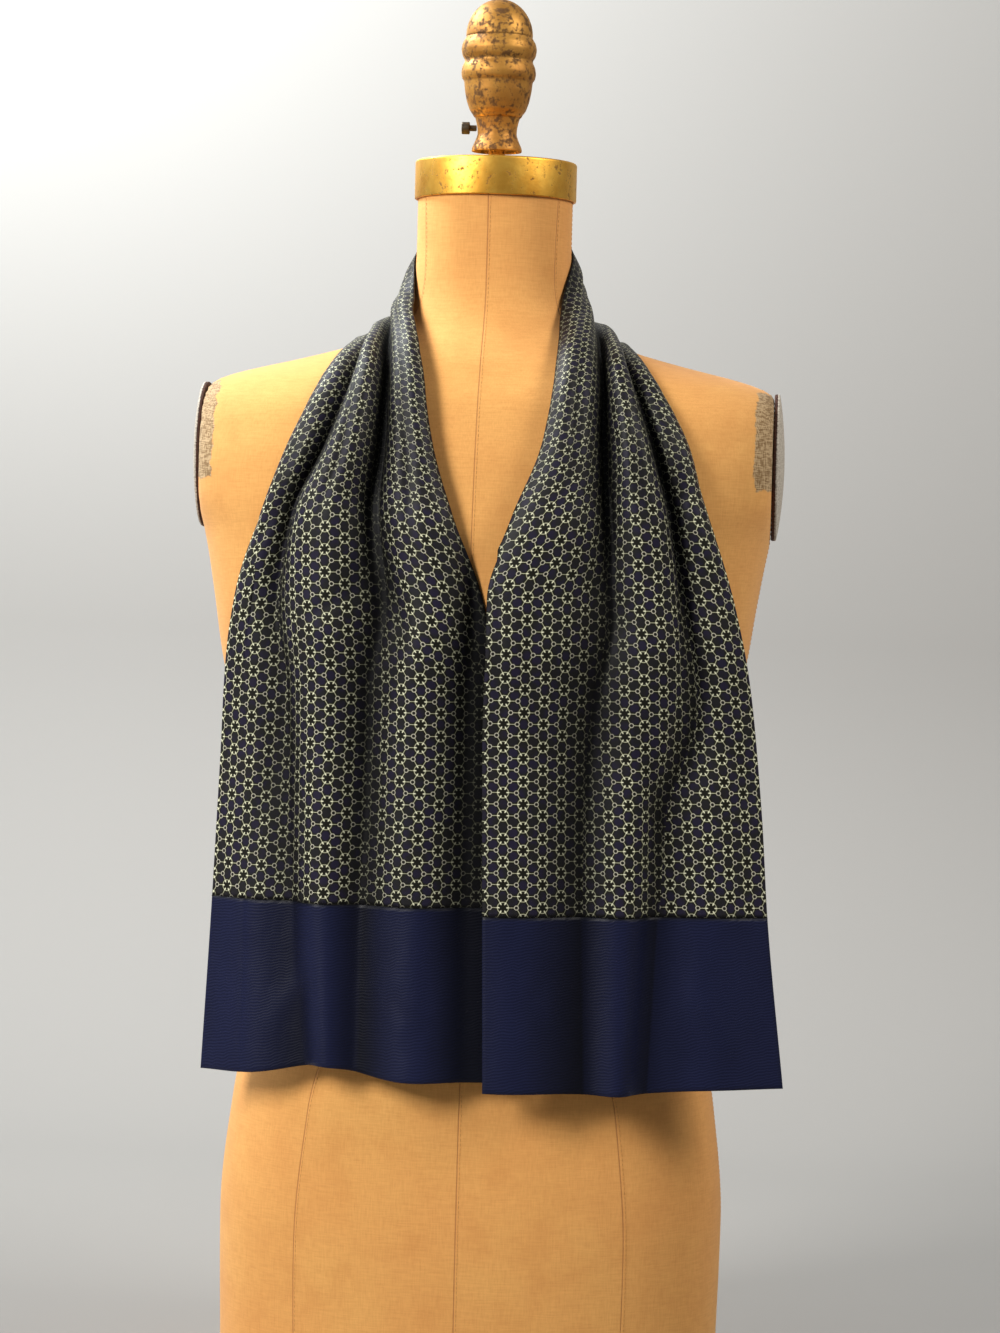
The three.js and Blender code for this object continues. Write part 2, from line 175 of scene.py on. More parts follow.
# Sections across the cloth. along: distance from that side's hem. in and out: the two long edges.
# tuck: share that lies flat under the other front. fold_a, fold_b: the two long valleys.
# edge: how far round its roll the inner edge stands. rise: height of the pleats.
# crease: 1 for sharp valleys, 0 for soft waves.
CLOTH_COLUMNS = (
    "along", "in_x", "in_y", "in_z", "out_x", "out_y", "out_z",
    "tuck", "fold_a", "fold_b", "edge", "rise", "crease",
)
LEFT_SECTIONS = [
    (0, 25, -128, 237, -192, -82, 232, 0.08, 0.45, 0.62, 0, 7, 0.0),
    (124, 22, -128, 360, -187, -82, 357, 0.10, 0.45, 0.69, 0, 6, 0.2),
    (196, 22, -128, 431, -184, -82, 430, 0.11, 0.44, 0.72, 0, 6, 0.3),
    (276, 22, -128, 510, -180, -83, 510, 0.11, 0.44, 0.74, 0, 6, 0.5),
    (343, 9, -127, 577, -171, -88, 577, 0.04, 0.37, 0.80, 0, 7, 0.7),
    (403, -14, -121, 636, -151, -95, 636, 0, 0.37, 0.81, 0.1, 9, 1),
    (460, -30, -108, 686, -128, -84, 686, 0, 0.33, 0.72, 0.15, 10, 1),
    (510, -38, -90, 728, -108, -60, 727, 0, 0.37, 0.70, 0.2, 10, 1),
    (560, -46, -56, 769, -99, -20, 756, 0, 0.41, 0.70, 0.25, 10, 1),
    (590, -50, -36, 791, -98, 10, 758, 0, 0.42, 0.71, 0.12, 9, 0.8),
    (632, -57.5, -6, 820, -88, 50, 757, 0, 0.42, 0.70, 0, 7, 0.5),
    (677, -51, 31, 839, -55, 78, 756, 0, 0.38, 0.69, 0, 7, 0.6),
]
BACK_SECTION = [(735, 0, 60, 846, 0, 90, 756, 0, 0.35, 0.68, 0.05, 8, 0.7)]
RIGHT_SECTIONS = [
    (0, 18, -131, 231, 229, -85, 234, 0, 0.34, 0.55, 0.3, 7, 0.0),
    (124, 15, -131, 355, 215, -85, 355, 0, 0.35, 0.62, 0.3, 6, 0.2),
    (196, 13, -131, 426, 209, -85, 427, 0, 0.36, 0.66, 0.3, 6, 0.3),
    (276, 11, -130, 507, 199, -85, 508, 0, 0.40, 0.80, 0.3, 6, 0.5),
    (346, 11, -129, 577, 184, -89, 577, 0, 0.48, 0.79, 0.25, 7, 0.7),
    (403, 29, -122, 634, 164, -95, 638, 0, 0.46, 0.79, 0.2, 9, 1),
    (460, 48, -109, 688, 144, -84, 691, 0, 0.41, 0.74, 0.15, 10, 1),
    (510, 53, -90, 733, 119, -60, 725, 0, 0.47, 0.75, 0.12, 10, 1),
    (558, 53, -60, 768, 103, -22, 752, 0, 0.51, 0.80, 0.1, 10, 1),
    (588, 54, -38, 790, 97, 8, 759, 0, 0.50, 0.79, 0.06, 9, 0.8),
    (632, 57.5, -6, 820, 86, 50, 757, 0, 0.45, 0.75, 0, 7, 0.5),
    (677, 51, 31, 839, 55, 78, 756, 0, 0.38, 0.70, 0, 7, 0.6),
]
CLOTH = Table(
    CLOTH_COLUMNS,
    LEFT_SECTIONS + BACK_SECTION + [(CLOTH_LENGTH - row[0], *row[1:]) for row in RIGHT_SECTIONS[::-1]],
)
# How far the valleys hang behind the line between the edges, where the form leaves room
SINK = Table(("from_hem", "depth"), [(0, 5), (124, 7), (230, 6), (276, 3), (320, 0), (735, 0)])
# How high each pleat stands over the rise of the sections, from the left hem to the right one
PLEATS = ("inner", "middle", "outer")
PLEAT_HEIGHTS = Table(
    ("along", *PLEATS),
    [
        (0, 1.7, 2.0, 1.5),
        (200, 2.4, 2.4, 1.7),
        (300, 2.6, 2.6, 1.7),
        (360, 2.1, 2.3, 1.8),
        (430, 1.9, 2.2, 1.3),
        (500, 1.6, 1.8, 0.7),
        (560, 1.2, 1.0, 0.4),
        (620, 1.0, 0.8, 0.4),
        (735, 1.0, 1.0, 0.7),
        (850, 1.0, 0.8, 0.4),
        (910, 1.2, 1.0, 0.4),
        (970, 1.6, 1.8, 0.7),
        (1040, 1.9, 2.2, 1.3),
        (1110, 2.1, 2.3, 1.7),
        (1170, 2.4, 2.5, 1.5),
        (1270, 2.3, 2.3, 1.1),
        (1470, 1.9, 1.9, 0.7),
    ],
)
DEEP_FOLD = 14  # a fold this deep gets the full painted shade
# Near the neck fine creases swallow cloth: how much flat cloth lies in each length that shows
GATHER = Table(("from_hem", "share"), [(0, 1), (370, 1), (460, 1.27), (735, 1.3)])
GATHER_SHADE = 1.2  # how much painted shade is laid on gathered cloth, for its fine creases
DEEP_CREASE = 6  # a crease this deep gets the full painted shade
SEAM_SHADE = 1.0  # painted shade laid on the rows where a band is seamed on
HEM_LIFT = {"left": (0.56, 0.16, 9), "right": (0.45, 0.2, -3)}

# Smaller creases laid over the pleats. Each runs between two places on the cloth, given
# as a distance from that side's hem and a share of the width; width and height are in millimetres.
# Those of the neck are measured from the left hem.
CREASE_COLUMNS = ("side", "from_along", "from_across", "to_along", "to_across", "width", "height")
CREASES = [
    ("left", 560, 0.16, 330, 0.22, 5, -2.2),
    ("left", 520, 0.56, 380, 0.60, 4, -1.8),
    ("left", 470, 0.88, 350, 0.92, 5, -1.6),
    ("left", 400, 0.30, 250, 0.36, 7, -2.0),
    ("left", 372, 0.42, 320, 0.62, 8, -1.8),
    ("left", 300, 0.80, 130, 0.84, 10, -1.5),
    ("left", 250, 0.26, 60, 0.30, 11, -1.4),
    ("left", 130, 0.60, 20, 0.72, 9, 1.2),
    ("left", 70, 0.30, 10, 0.24, 8, -0.9),
    ("right", 560, 0.24, 400, 0.20, 4, -2.0),
    ("right", 520, 0.62, 360, 0.64, 5, -1.8),
    ("right", 480, 0.88, 340, 0.88, 5, -1.7),
    ("right", 390, 0.20, 220, 0.16, 8, -1.7),
    ("right", 330, 0.62, 160, 0.58, 9, -1.8),
    ("right", 300, 0.90, 200, 0.94, 8, -1.6),
    ("right", 120, 0.72, 15, 0.80, 10, 1.4),
    ("right", 100, 0.20, 20, 0.16, 9, -0.9),
    ("neck", 500, 0.20, 930, 0.18, 4, -2.8),
    ("neck", 560, 0.30, 850, 0.27, 4, 1.8),
    ("neck", 540, 0.56, 960, 0.52, 4, -2.8),
    ("neck", 600, 0.62, 900, 0.60, 4, 1.6),
    ("neck", 520, 0.84, 940, 0.86, 4, -2.8),
]


def smooth_step(value, start, end):
    share = np.clip((value - start) / (end - start), 0, 1)
    return share * share * (3 - 2 * share)


def from_hem(along):
    return np.minimum(along, CLOTH_LENGTH - along)


def body_reach(x, y, height):
    """How far the form reaches from its axis in the direction of (x, y)."""
    across = np.abs(x) / FORM.at(height, "half_width")
    deep = np.abs(y) / np.where(y < 0, FORM.at(height, "front"), FORM.at(height, "back"))
    power = FORM.at(height, "square")
    return np.hypot(x, y) / (across**power + deep**power) ** (1 / power)


def out_of_form(points):
    """Distance from the form, with its chest carried straight down, and the way out of it."""

    def clearance(at):
        x, y, z = np.moveaxis(at, -1, 0)
        return np.hypot(x, y) - body_reach(x, y, np.maximum(z, CHEST_HEIGHT))

    step = 0.5
    way = np.stack(
        [clearance(points + step * axis) - clearance(points - step * axis) for axis in np.eye(3)], -1
    ) / (2 * step)
    steepness = np.linalg.norm(way, axis=-1, keepdims=True)
    return clearance(points) / steepness[..., 0], way / steepness


def unit(vectors):
    return vectors / np.maximum(np.linalg.norm(vectors, axis=-1, keepdims=True), 1e-9)


def outward(grid):
    return unit(np.cross(np.gradient(grid, axis=0), np.gradient(grid, axis=1)))


def resting_cloth(along, across):
    """The unpleated cloth: between its edges, then laid on the form."""
    edges = [
        np.stack([CLOTH.at(along, f"{side}_{axis}") for axis in "xyz"], -1) for side in ("in", "out")
    ]
    points = edges[0] + (edges[1] - edges[0]) * across[..., None]
    cling = smooth_step(from_hem(along), CLING_FROM, CLING_FULL)
    for _ in range(5):
        distance, way = out_of_form(points)
        excess = distance - CLOTH_STANDOFF
        points = points + way * np.where(excess < 0, -excess, -excess * cling)[..., None]
    return points


def pleat_rise(along, across):
    """How far the pleats stand out, and how deep each place lies in a fold, from 0 to 1, for the painted
    shade.
    """
    folds = [CLOTH.at(along, valley) for valley in ("tuck", "fold_a", "fold_b")]
    folds.append(np.ones_like(folds[0]))
    edge, crease, rise = (CLOTH.at(along, column) for column in ("edge", "crease", "rise"))
    total, fold = np.zeros_like(across), np.ones_like(across)
    for pleat, name in enumerate(PLEATS):
        width = folds[pleat + 1] - folds[pleat]
        part = np.clip((across - folds[pleat]) / width, 0, 1)
        if pleat == 0:
            part = edge + (1 - edge) * part
        else:
            part = np.maximum(0, part - VALLEY_FLOOR * crease) / (1 - VALLEY_FLOOR * crease)
        if pleat == 2:
            part = part * (1 - OUTER_EDGE_TURN)
        flank = 2 * part - 1
        free = (flank < 0) if pleat == 0 else (flank > 0) if pleat == 2 else np.zeros_like(part, bool)
        sharp = 1 - np.abs(flank) ** np.where(free, PLEAT_ROUNDNESS, VALLEY_STEEPNESS)
        soft = (1 - np.cos(2 * np.pi * part)) / 2
        depth = rise * np.sqrt(3 * width) * PLEAT_HEIGHTS.at(along, name)
        shape = crease * sharp + (1 - crease) * soft
        inside = (across >= folds[pleat] if pleat else across >= -1) & (across <= folds[pleat + 1])
        total = np.where(inside, depth * shape, total)
        shaded = (1 - shape) * np.minimum(1, depth / DEEP_FOLD)
        fold = np.where(inside, np.where(free & (pleat == 2), 0, shaded), fold)
    return total - SINK.at(from_hem(along), "depth"), fold


def hand_creases(along, across, width):
    """Soft troughs and ridges between two places on the cloth, fading at both ends."""
    total = np.zeros_like(across)
    left = along < CLOTH_LENGTH / 2
    for crease in CREASES:
        row = dict(zip(CREASE_COLUMNS, crease))
        start = np.array([row["from_along"], row["from_across"]])
        end = np.array([row["to_along"], row["to_across"]])
        neck = row["side"] == "neck"
        share = np.clip(((along if neck else from_hem(along)) - start[0]) / (end[0] - start[0]), 0, 1)
        middle = start[1] + (end[1] - start[1]) * share + 0.02 * np.sin(3 * np.pi * share)
        away = (across - middle) * width
        fade = np.sin(np.pi * share) ** 0.8
        here = row["height"] * fade * np.exp(-((away / row["width"]) ** 2))
        total += np.where(neck | (left == (row["side"] == "left")), here, 0.0)
    return total


def hem_lift(along, across):
    left = along < CLOTH_LENGTH / 2
    at, width, height = (np.where(left, *pair) for pair in zip(HEM_LIFT["left"], HEM_LIFT["right"]))
    fade = np.maximum(0, 1 - from_hem(along) / BAND_HEIGHT) ** 2
    return height * fade * np.exp(-(((across - at) / width) ** 2))


def cloth_grid(start, end):
    """Middle of the cloth between two places along it, the pleat of each column, and how deep each place
    lies in a fold.
    """
    count = max(2, round((end - start) / ROW_SPACING))
    along = np.linspace(start, end, count + 1)[:, None]
    valleys = (CLOTH.at(along, name) for name in ("fold_a", "fold_b"))
    folds = [np.zeros_like(along), *valleys, np.ones_like(along)]
    shares = [folds[0]]
    pleat_of_column = []
    for pleat, columns in enumerate(PLEAT_COLUMNS):
        part = np.arange(1, columns + 1)[None, :] / columns
        shares.append(folds[pleat] + (folds[pleat + 1] - folds[pleat]) * part)
        pleat_of_column += [pleat] * columns
    across = np.concatenate(shares, axis=1)
    along = np.broadcast_to(along, across.shape)
    resting = resting_cloth(along, across)
    flat_width = np.linalg.norm(np.diff(resting, axis=1), axis=-1).sum(1)[:, None]
    rise, fold = pleat_rise(along, across)
    creases = hand_creases(along, across, flat_width)
    middle = resting + outward(resting) * (rise + creases)[..., None]
    middle[..., 2] += hem_lift(along, across)
    distance, way = out_of_form(middle)
    buried = np.where(middle[..., 2] > CHEST_HEIGHT, np.maximum(0, LEAST_STANDOFF - distance), 0)
    middle = middle + way * buried[..., None]
    gathered = GATHER.at(from_hem(along), "share") - 1
    # Painted shade: deeper in sunken creases and over gathered cloth, lighter on raised creases
    fold = np.clip(fold - creases / DEEP_CREASE + gathered * GATHER_SHADE, 0, 1)
    return middle, np.array(pleat_of_column), fold


def print_coordinates(middle, pleat_of_column, width, gather):
    """Places on the flat cloth for the left and right side of each column of vertices.
    The cloth that a valley swallows is skipped, so the print keeps its size on every pleat."""
    run = np.linalg.norm(np.diff(middle, axis=1), axis=-1)
    shown = run.sum(1, keepdims=True)
    squeeze = np.minimum(gather, width / shown)
    place = np.concatenate([np.zeros_like(shown), np.cumsum(run, axis=1)], axis=1) * squeeze
    hidden = width - shown * squeeze
    skip = hidden * pleat_of_column[None, :] / 2
    return place[:, :-1] + skip, place[:, 1:] + skip


def in_scene(name, data):
    made = bpy.data.objects.new(name, data)
    bpy.context.scene.collection.objects.link(made)
    return made


def new_object(name, vertices, faces, uv=None):
    """A piece from points in millimetres about the form's axis, uv in millimetres of flat cloth."""
    mesh = bpy.data.meshes.new(name)
    mesh.from_pydata((np.asarray(vertices) / 1000 + AXIS).tolist(), [], [list(face) for face in faces])
    if uv is not None:
        layer = mesh.uv_layers.new(name="flat_cloth")
        layer.data.foreach_set("uv", (np.asarray(uv, float) / 1000).ravel())
    mesh.polygons.foreach_set("use_smooth", [True] * len(mesh.polygons))
    mesh.validate()
    return in_scene(name, mesh)


def point_values(piece, name, *values):
    attribute = piece.data.attributes.new(name, "FLOAT", "POINT")
    attribute.data.foreach_set("value", np.concatenate(values))


def cloth_shell(name, start, end, thickness, flat_width, bulges):
    """A closed wall of cloth with rounded edges. bulges: how far the first and last row swell out."""
    middle, pleats, fold = cloth_grid(start, end)
    # Painted shade along the rows where a band is seamed on
    for row, seamed in ((0, start > 0), (-1, end < CLOTH_LENGTH)):
        if seamed:
            fold[row] = np.maximum(fold[row], SEAM_SHADE)
    rows, columns = middle.shape[:2]
    half = thickness / 2
    away = outward(middle) * half
    number = np.arange(rows * columns).reshape(rows, columns)
    back = number + rows * columns
    gather = GATHER.at(from_hem(np.linspace(start, end, rows)), "share")[:, None]
    left_u, right_u = print_coordinates(middle, pleats, flat_width, gather)
    steps = np.linalg.norm(np.diff(middle, axis=0), axis=-1).mean(1) * gather[1:, 0]
    down_cloth = np.concatenate([[0], np.cumsum(steps)])
    i, j = np.meshgrid(np.arange(rows - 1), np.arange(columns - 1), indexing="ij")
    i, j = i.ravel(), j.ravel()
    corners = [(i, j), (i + 1, j), (i + 1, j + 1), (i, j + 1)]
    u = [left_u[i, j], left_u[i + 1, j], right_u[i + 1, j], right_u[i, j]]
    v = [down_cloth[a] for a, b in corners]
    quads = np.stack([number[a, b] for a, b in corners], -1)
    places = np.stack([np.stack(u, -1), np.stack(v, -1)], -1)
    faces = quads.tolist() + (quads[:, ::-1] + rows * columns).tolist()
    uv = [places, places[:, ::-1]]
    border = (
        [(k, 0) for k in range(rows - 1)]
        + [(rows - 1, k) for k in range(columns - 1)]
        + [(k, columns - 1) for k in range(rows - 1, 0, -1)]
        + [(0, k) for k in range(columns - 1, 0, -1)]
    )
    down = unit(np.gradient(middle, axis=0))
    sideways = unit(np.gradient(middle, axis=1))
    rim = []
    for a, b in border:
        shift = np.zeros(3)
        if b == 0:
            shift -= sideways[a, b] * half
        if b == columns - 1:
            shift += sideways[a, b] * half
        if a == 0:
            shift -= down[a, b] * bulges[0]
        if a == rows - 1:
            shift += down[a, b] * bulges[1]
        rim.append(middle[a, b] + shift)
    rim_start = 2 * rows * columns
    count = len(border)
    flat_u = np.concatenate([left_u, right_u[:, -1:]], axis=1)
    rim_uv = []
    for k, (a, b) in enumerate(border):
        after = (k + 1) % count
        c, d = border[after]
        faces.append((number[c, d], number[a, b], rim_start + k, rim_start + after))
        faces.append((rim_start + after, rim_start + k, back[a, b], back[c, d]))
        here, there = (flat_u[a, b], down_cloth[a]), (flat_u[c, d], down_cloth[c])
        rim_uv += [[there, here, here, there]] * 2
    uv.append(np.array(rim_uv))
    vertices = np.concatenate(
        [(middle + away).reshape(-1, 3), (middle - away).reshape(-1, 3), np.array(rim)]
    )
    cloth = new_object(name, vertices, faces, np.concatenate(uv).reshape(-1, 2))
    edge = [fold[a, b] for a, b in border]
    # The fold depth is kept on the points; the silk's materials turn it into painted shade
    point_values(cloth, "fold", fold.ravel(), fold.ravel(), edge)
    return cloth


def turned(name, profile, sides):
    """A piece spun about the form's axis from (radius, height) points; ends on the axis are closed."""
    vertices, rings = [], []
    for radius, height in profile:
        if radius < 1e-6:
            rings.append([len(vertices)])
            vertices.append((0, 0, height))
            continue
        ring = []
        for side in range(sides):
            turn = 2 * math.pi * side / sides
            ring.append(len(vertices))
            vertices.append((radius * math.cos(turn), radius * math.sin(turn), height))
        rings.append(ring)
    faces = []
    for lower, upper in zip(rings, rings[1:]):
        for side in range(sides):
            after = (side + 1) % sides
            if len(lower) == 1:
                faces.append((lower[0], upper[after], upper[side]))
            elif len(upper) == 1:
                faces.append((lower[side], lower[after], upper[0]))
            else:
                faces.append((lower[side], lower[after], upper[after], upper[side]))
    return new_object(name, vertices, faces)


def ring_faces(rings, sides):
    """Faces of a tube of rings one above the other, closed by two points that come after them."""
    faces = []
    after = [(side + 1) % sides for side in range(sides)]
    for ring in range(rings - 1):
        low, high = ring * sides, (ring + 1) * sides
        faces += [(low + k, low + after[k], high + after[k], high + k) for k in range(sides)]
    bottom, last = rings * sides, (rings - 1) * sides
    for k in range(sides):
        faces += [(bottom, after[k], k), (bottom + 1, last + k, last + after[k])]
    return faces


def rounded(profile, radius, steps=4):
    """A profile with its inner corners replaced by small arcs."""
    points = [np.array(point, float) for point in profile]
    out = [points[0]]
    for before, here, after in zip(points, points[1:], points[2:]):
        reach = min(radius, np.linalg.norm(here - before) / 2.05, np.linalg.norm(after - here) / 2.05)
        start = here + unit(before - here) * reach
        end = here + unit(after - here) * reach
        for k in range(steps + 1):
            t = k / steps
            out.append((1 - t) ** 2 * start + 2 * t * (1 - t) * here + t**2 * end)
    out.append(points[-1])
    return out


# Colours and materials


def paint(red, green, blue):
    """A colour from its 0 to 255 values, as light."""
    values = [c / 255 for c in (red, green, blue)]
    return [c / 12.92 if c <= 0.04045 else ((c + 0.055) / 1.055) ** 2.4 for c in values]


def arithmetic(operation, backwards=False):
    """A method that puts one maths node between two values."""

    def method(self, other=None):
        first, second = (other, self) if backwards else (self, other)
        return self.math(operation, first, second)

    return method


def opaque(colour):
    return [*colour, 1.0]


class Shade:
    """A socket that takes part in sums, so that a mask is written as ordinary arithmetic."""

    def __init__(self, tree, socket=None):
        self.tree = tree
        self.socket = socket

    def node(self, kind, settings=None, sockets=None, out=0):
        made = self.tree.nodes.new(kind)
        for key, value in (settings or {}).items():
            setattr(made, key, value)
        for key, value in (sockets or {}).items():
            if isinstance(value, Shade):
                self.tree.links.new(value.socket, made.inputs[key])
            elif value is not None:
                made.inputs[key].default_value = value
        return Shade(self.tree, made.outputs[out])

    def math(self, operation, first, second=None):
        return self.node("ShaderNodeMath", {"operation": operation}, {0: first, 1: second})

    __add__ = __radd__ = arithmetic("ADD")
    __mul__ = __rmul__ = arithmetic("MULTIPLY")
    __sub__, __rsub__ = arithmetic("SUBTRACT"), arithmetic("SUBTRACT", backwards=True)
    __truediv__, __pow__, __abs__ = arithmetic("DIVIDE"), arithmetic("POWER"), arithmetic("ABSOLUTE")
    least, most = arithmetic("MINIMUM"), arithmetic("MAXIMUM")

    def below(self, edge, soft):
        """1 under the edge, 0 above it, smooth over twice the softness."""
        return self.node(
            "ShaderNodeMapRange",
            {"interpolation_type": "SMOOTHSTEP"},
            {0: self, 1: edge - soft, 2: edge + soft, 3: 1.0, 4: 0.0},
        )

    def place(self):
        """Where a point lies in its own object's space."""
        return self.node("ShaderNodeTexCoord", out=3)

    def parts(self, vector):
        """The x, y and z of a vector."""
        outputs = self.node("ShaderNodeSeparateXYZ", None, {0: vector}).socket.node.outputs
        return [Shade(self.tree, output) for output in outputs]

    def point_value(self, name):
        return self.node("ShaderNodeAttribute", {"attribute_name": name}, out=2)

    def noise(self, place, scale, detail=3.0, roughness=0.5):
        values = {"Vector": place, "Scale": scale, "Detail": detail, "Roughness": roughness}
        return self.node("ShaderNodeTexNoise", None, values)

    def grain(self, place, factors, detail, roughness=0.5):
        """Noise with its own scale each way."""
        scaled = self.node("ShaderNodeVectorMath", {"operation": "MULTIPLY"}, {0: place, 1: factors})
        return self.noise(scaled, 1.0, detail, roughness)

    def mix(self, share, first, second):
        """From the first colour to the second as the share goes from 0 to 1."""
        first, second = (end if isinstance(end, Shade) else opaque(end) for end in (first, second))
        return self.node("ShaderNodeMix", {"data_type": "RGBA"}, {0: share, 6: first, 7: second}, out=2)

    def bump(self, height, distance, strength=1.0, normal=None):
        return self.node(
            "ShaderNodeBump", None,
            {"Height": height, "Distance": distance, "Strength": strength, "Normal": normal},
        )


def new_material(name, **constants):
    """A material with its fixed values set on the shader, and the helper that adds to it."""
    material = bpy.data.materials.new(name)
    material.use_nodes = True
    tree = material.node_tree
    shader = next(node for node in tree.nodes if node.type == "BSDF_PRINCIPLED")
    for key, value in constants.items():
        shader.inputs[key.replace("_", " ")].default_value = value
    return material, Shade(tree), shader


def feed(shade, shader, **links):
    for key, value in links.items():
        shade.tree.links.new(value.socket, shader.inputs[key.replace("_", " ")])


def folded_hexagon(u, v):
    """Place within the nearest knot of a hexagonal net with its knots one apart along v."""
    root = math.sqrt(3)

    def wrapped(value, period):
        return value - value.math("FLOOR", value / period) * period

    first_x, first_y = wrapped(u + root / 2, root) - root / 2, wrapped(v + 0.5, 1.0) - 0.5
    second_x, second_y = wrapped(u, root) - root / 2, wrapped(v, 1.0) - 0.5
    first = first_x * first_x + first_y * first_y
    second = second_x * second_x + second_y * second_y
    nearer = second.math("LESS_THAN", second, first)
    x = first_x + (second_x - first_x) * nearer
    y = first_y + (second_y - first_y) * nearer
    return abs(x), abs(y)


def flat_cloth(shade):
    """Place on the flat cloth, whole and as its parts across and along."""
    uv = shade.node("ShaderNodeUVMap", {"uv_map": "flat_cloth"})
    return uv, *shade.parts(uv)[:2]


# Painted shade: the colour drawn darker where the cloth lies deep in a fold or crease, over gathers and at
# the band seams
def painted_fold_shade(shade, cloth, colour):
    return shade.mix(shade.point_value("fold") ** 1.3 * cloth.fold_shade_depth, colour, (0, 0, 0))


def printed_silk(cloth):
    """Pale stars, spokes and rings between dark round cells, charted on a hexagonal net."""
    material, shade, shader = new_material(
        "printed_silk", Metallic=0.0, Sheen_Weight=0.02, Sheen_Roughness=0.4, Specular_IOR_Level=0.16
    )
    uv, u, v = flat_cloth(shade)
    x, y = folded_hexagon(u / cloth.repeat, v / cloth.repeat)
    # the same wedge, turned so that the cell between two stars lies ahead and the ring beside it
    steep = y.math("GREATER_THAN", y, x * TAN_60)
    tilted_x, tilted_y = x * COS_30 + y * SIN_30, abs(y * COS_30 - x * SIN_30)
    ahead = tilted_x + (y - tilted_x) * steep
    beside = tilted_y + (x - tilted_y) * steep
    reach = (ahead * ahead + beside * beside) ** 0.5
    spoke_way = ahead * COS_30 + beside * SIN_30
    spoke_side = abs(ahead * SIN_30 - beside * COS_30)
    cell = (((ahead - CELL_REACH) / CELL_LENGTH) ** 2.0 + (beside / CELL_WIDTH) ** 2.0) ** 0.5
    ring_x, ring_y = ahead - CELL_REACH, beside - RING_ASIDE
    ring = (ring_x * ring_x + ring_y * ring_y) ** 0.5
    ring_line = abs(ring - RING_RADIUS).below(0.017, 0.015)
    fibre = shade.grain(uv, (900.0, 900.0, 1.0), 2.0)
    uneven = shade.grain(uv, (330.0, 330.0, 1.0), 1.0)
    from_star = abs(reach - STAR_RADIUS)
    knot = (((spoke_way - KNOT_REACH) / KNOT_LENGTH) ** 2.0 + (spoke_side / KNOT_WIDTH) ** 2.0) ** 0.5
    spoke_length = (spoke_way - SPOKE_END).below(0.0, 0.02) * (SPOKE_START - spoke_way).below(0.0, 0.02)
    spoke = spoke_side.below(0.008, 0.013) * spoke_length
    star_line = from_star.below(0.01, 0.018) * (0.35 + uneven)
    pale = star_line.most(knot.below(0.9, 0.35)).most(spoke * (0.5 + uneven * 0.8))
    bleed = from_star.below(0.04, 0.04).most(spoke_side.below(0.03, 0.03) * spoke_length)
    tone = shade.grain(uv, (70.0, 70.0, 1.0), 1.0)
    inside = cell.below(0.93, 0.13)
    ground = shade.mix(
        inside, cloth.ground_colour, shade.mix(tone.below(0.5, 0.1), cloth.cell_colour, cloth.cell_shade)
    )
    ground = shade.mix(bleed * 0.45 * (1 - inside), ground, cloth.halo_colour)
    colour = shade.mix((pale * (0.75 + fibre * 0.4)).least(1.0), ground, cloth.line_colour)
    colour = shade.mix(ring_line * (0.6 + fibre * 0.4), colour, cloth.ring_colour)
    weave = shade.grain(uv, (1800.0, 700.0, 1.0), 2.0)
    slack = shade.grain(uv, (34.0, 9.0, 1.0), 3.0)
    feed(
        shade, shader,
        Base_Color=painted_fold_shade(shade, cloth, colour),
        Roughness=0.46 + fibre * 0.14,
        Normal=shade.bump(weave, 0.00012, 0.5, shade.bump(slack, 0.0016, 0.55)),
    )
    return material


def navy_silk(cloth):
    """Plain navy silk with fine crosswise ribs that wander a little."""
    material, shade, shader = new_material(
        "navy_silk", Metallic=0.0, Sheen_Weight=0.02, Sheen_Roughness=0.35, Specular_IOR_Level=0.17
    )
    uv, u, v = flat_cloth(shade)
    wander = shade.grain(uv, (110.0, 40.0, 1.0), 3.0)
    rib = (v + u * 0.16) * (6.2832 / cloth.rib_spacing) + wander * 16.0
    rib = rib.math("SINE", rib)
    tone = shade.grain(uv, (26.0, 14.0, 1.0), 3.0)
    fibre = shade.grain(uv, (500.0, 1500.0, 1.0), 2.0)
    slack = shade.grain(uv, (22.0, 16.0, 1.0), 3.0)
    # Painted light and shade: the lit and the shaded navy, mixed in soft patches and along the ribs
    colour = shade.mix(tone * 0.6 + rib * 0.22 + 0.2, cloth.band_shade, cloth.band_colour)
    feed(
        shade, shader,
        Base_Color=painted_fold_shade(shade, cloth, colour),
        Roughness=0.42 + fibre * 0.12 + rib * 0.03,
        Normal=shade.bump(rib * 0.5 + fibre * 0.5, 0.00014, 0.6, shade.bump(slack, 0.0022, 0.5)),
    )
    return material


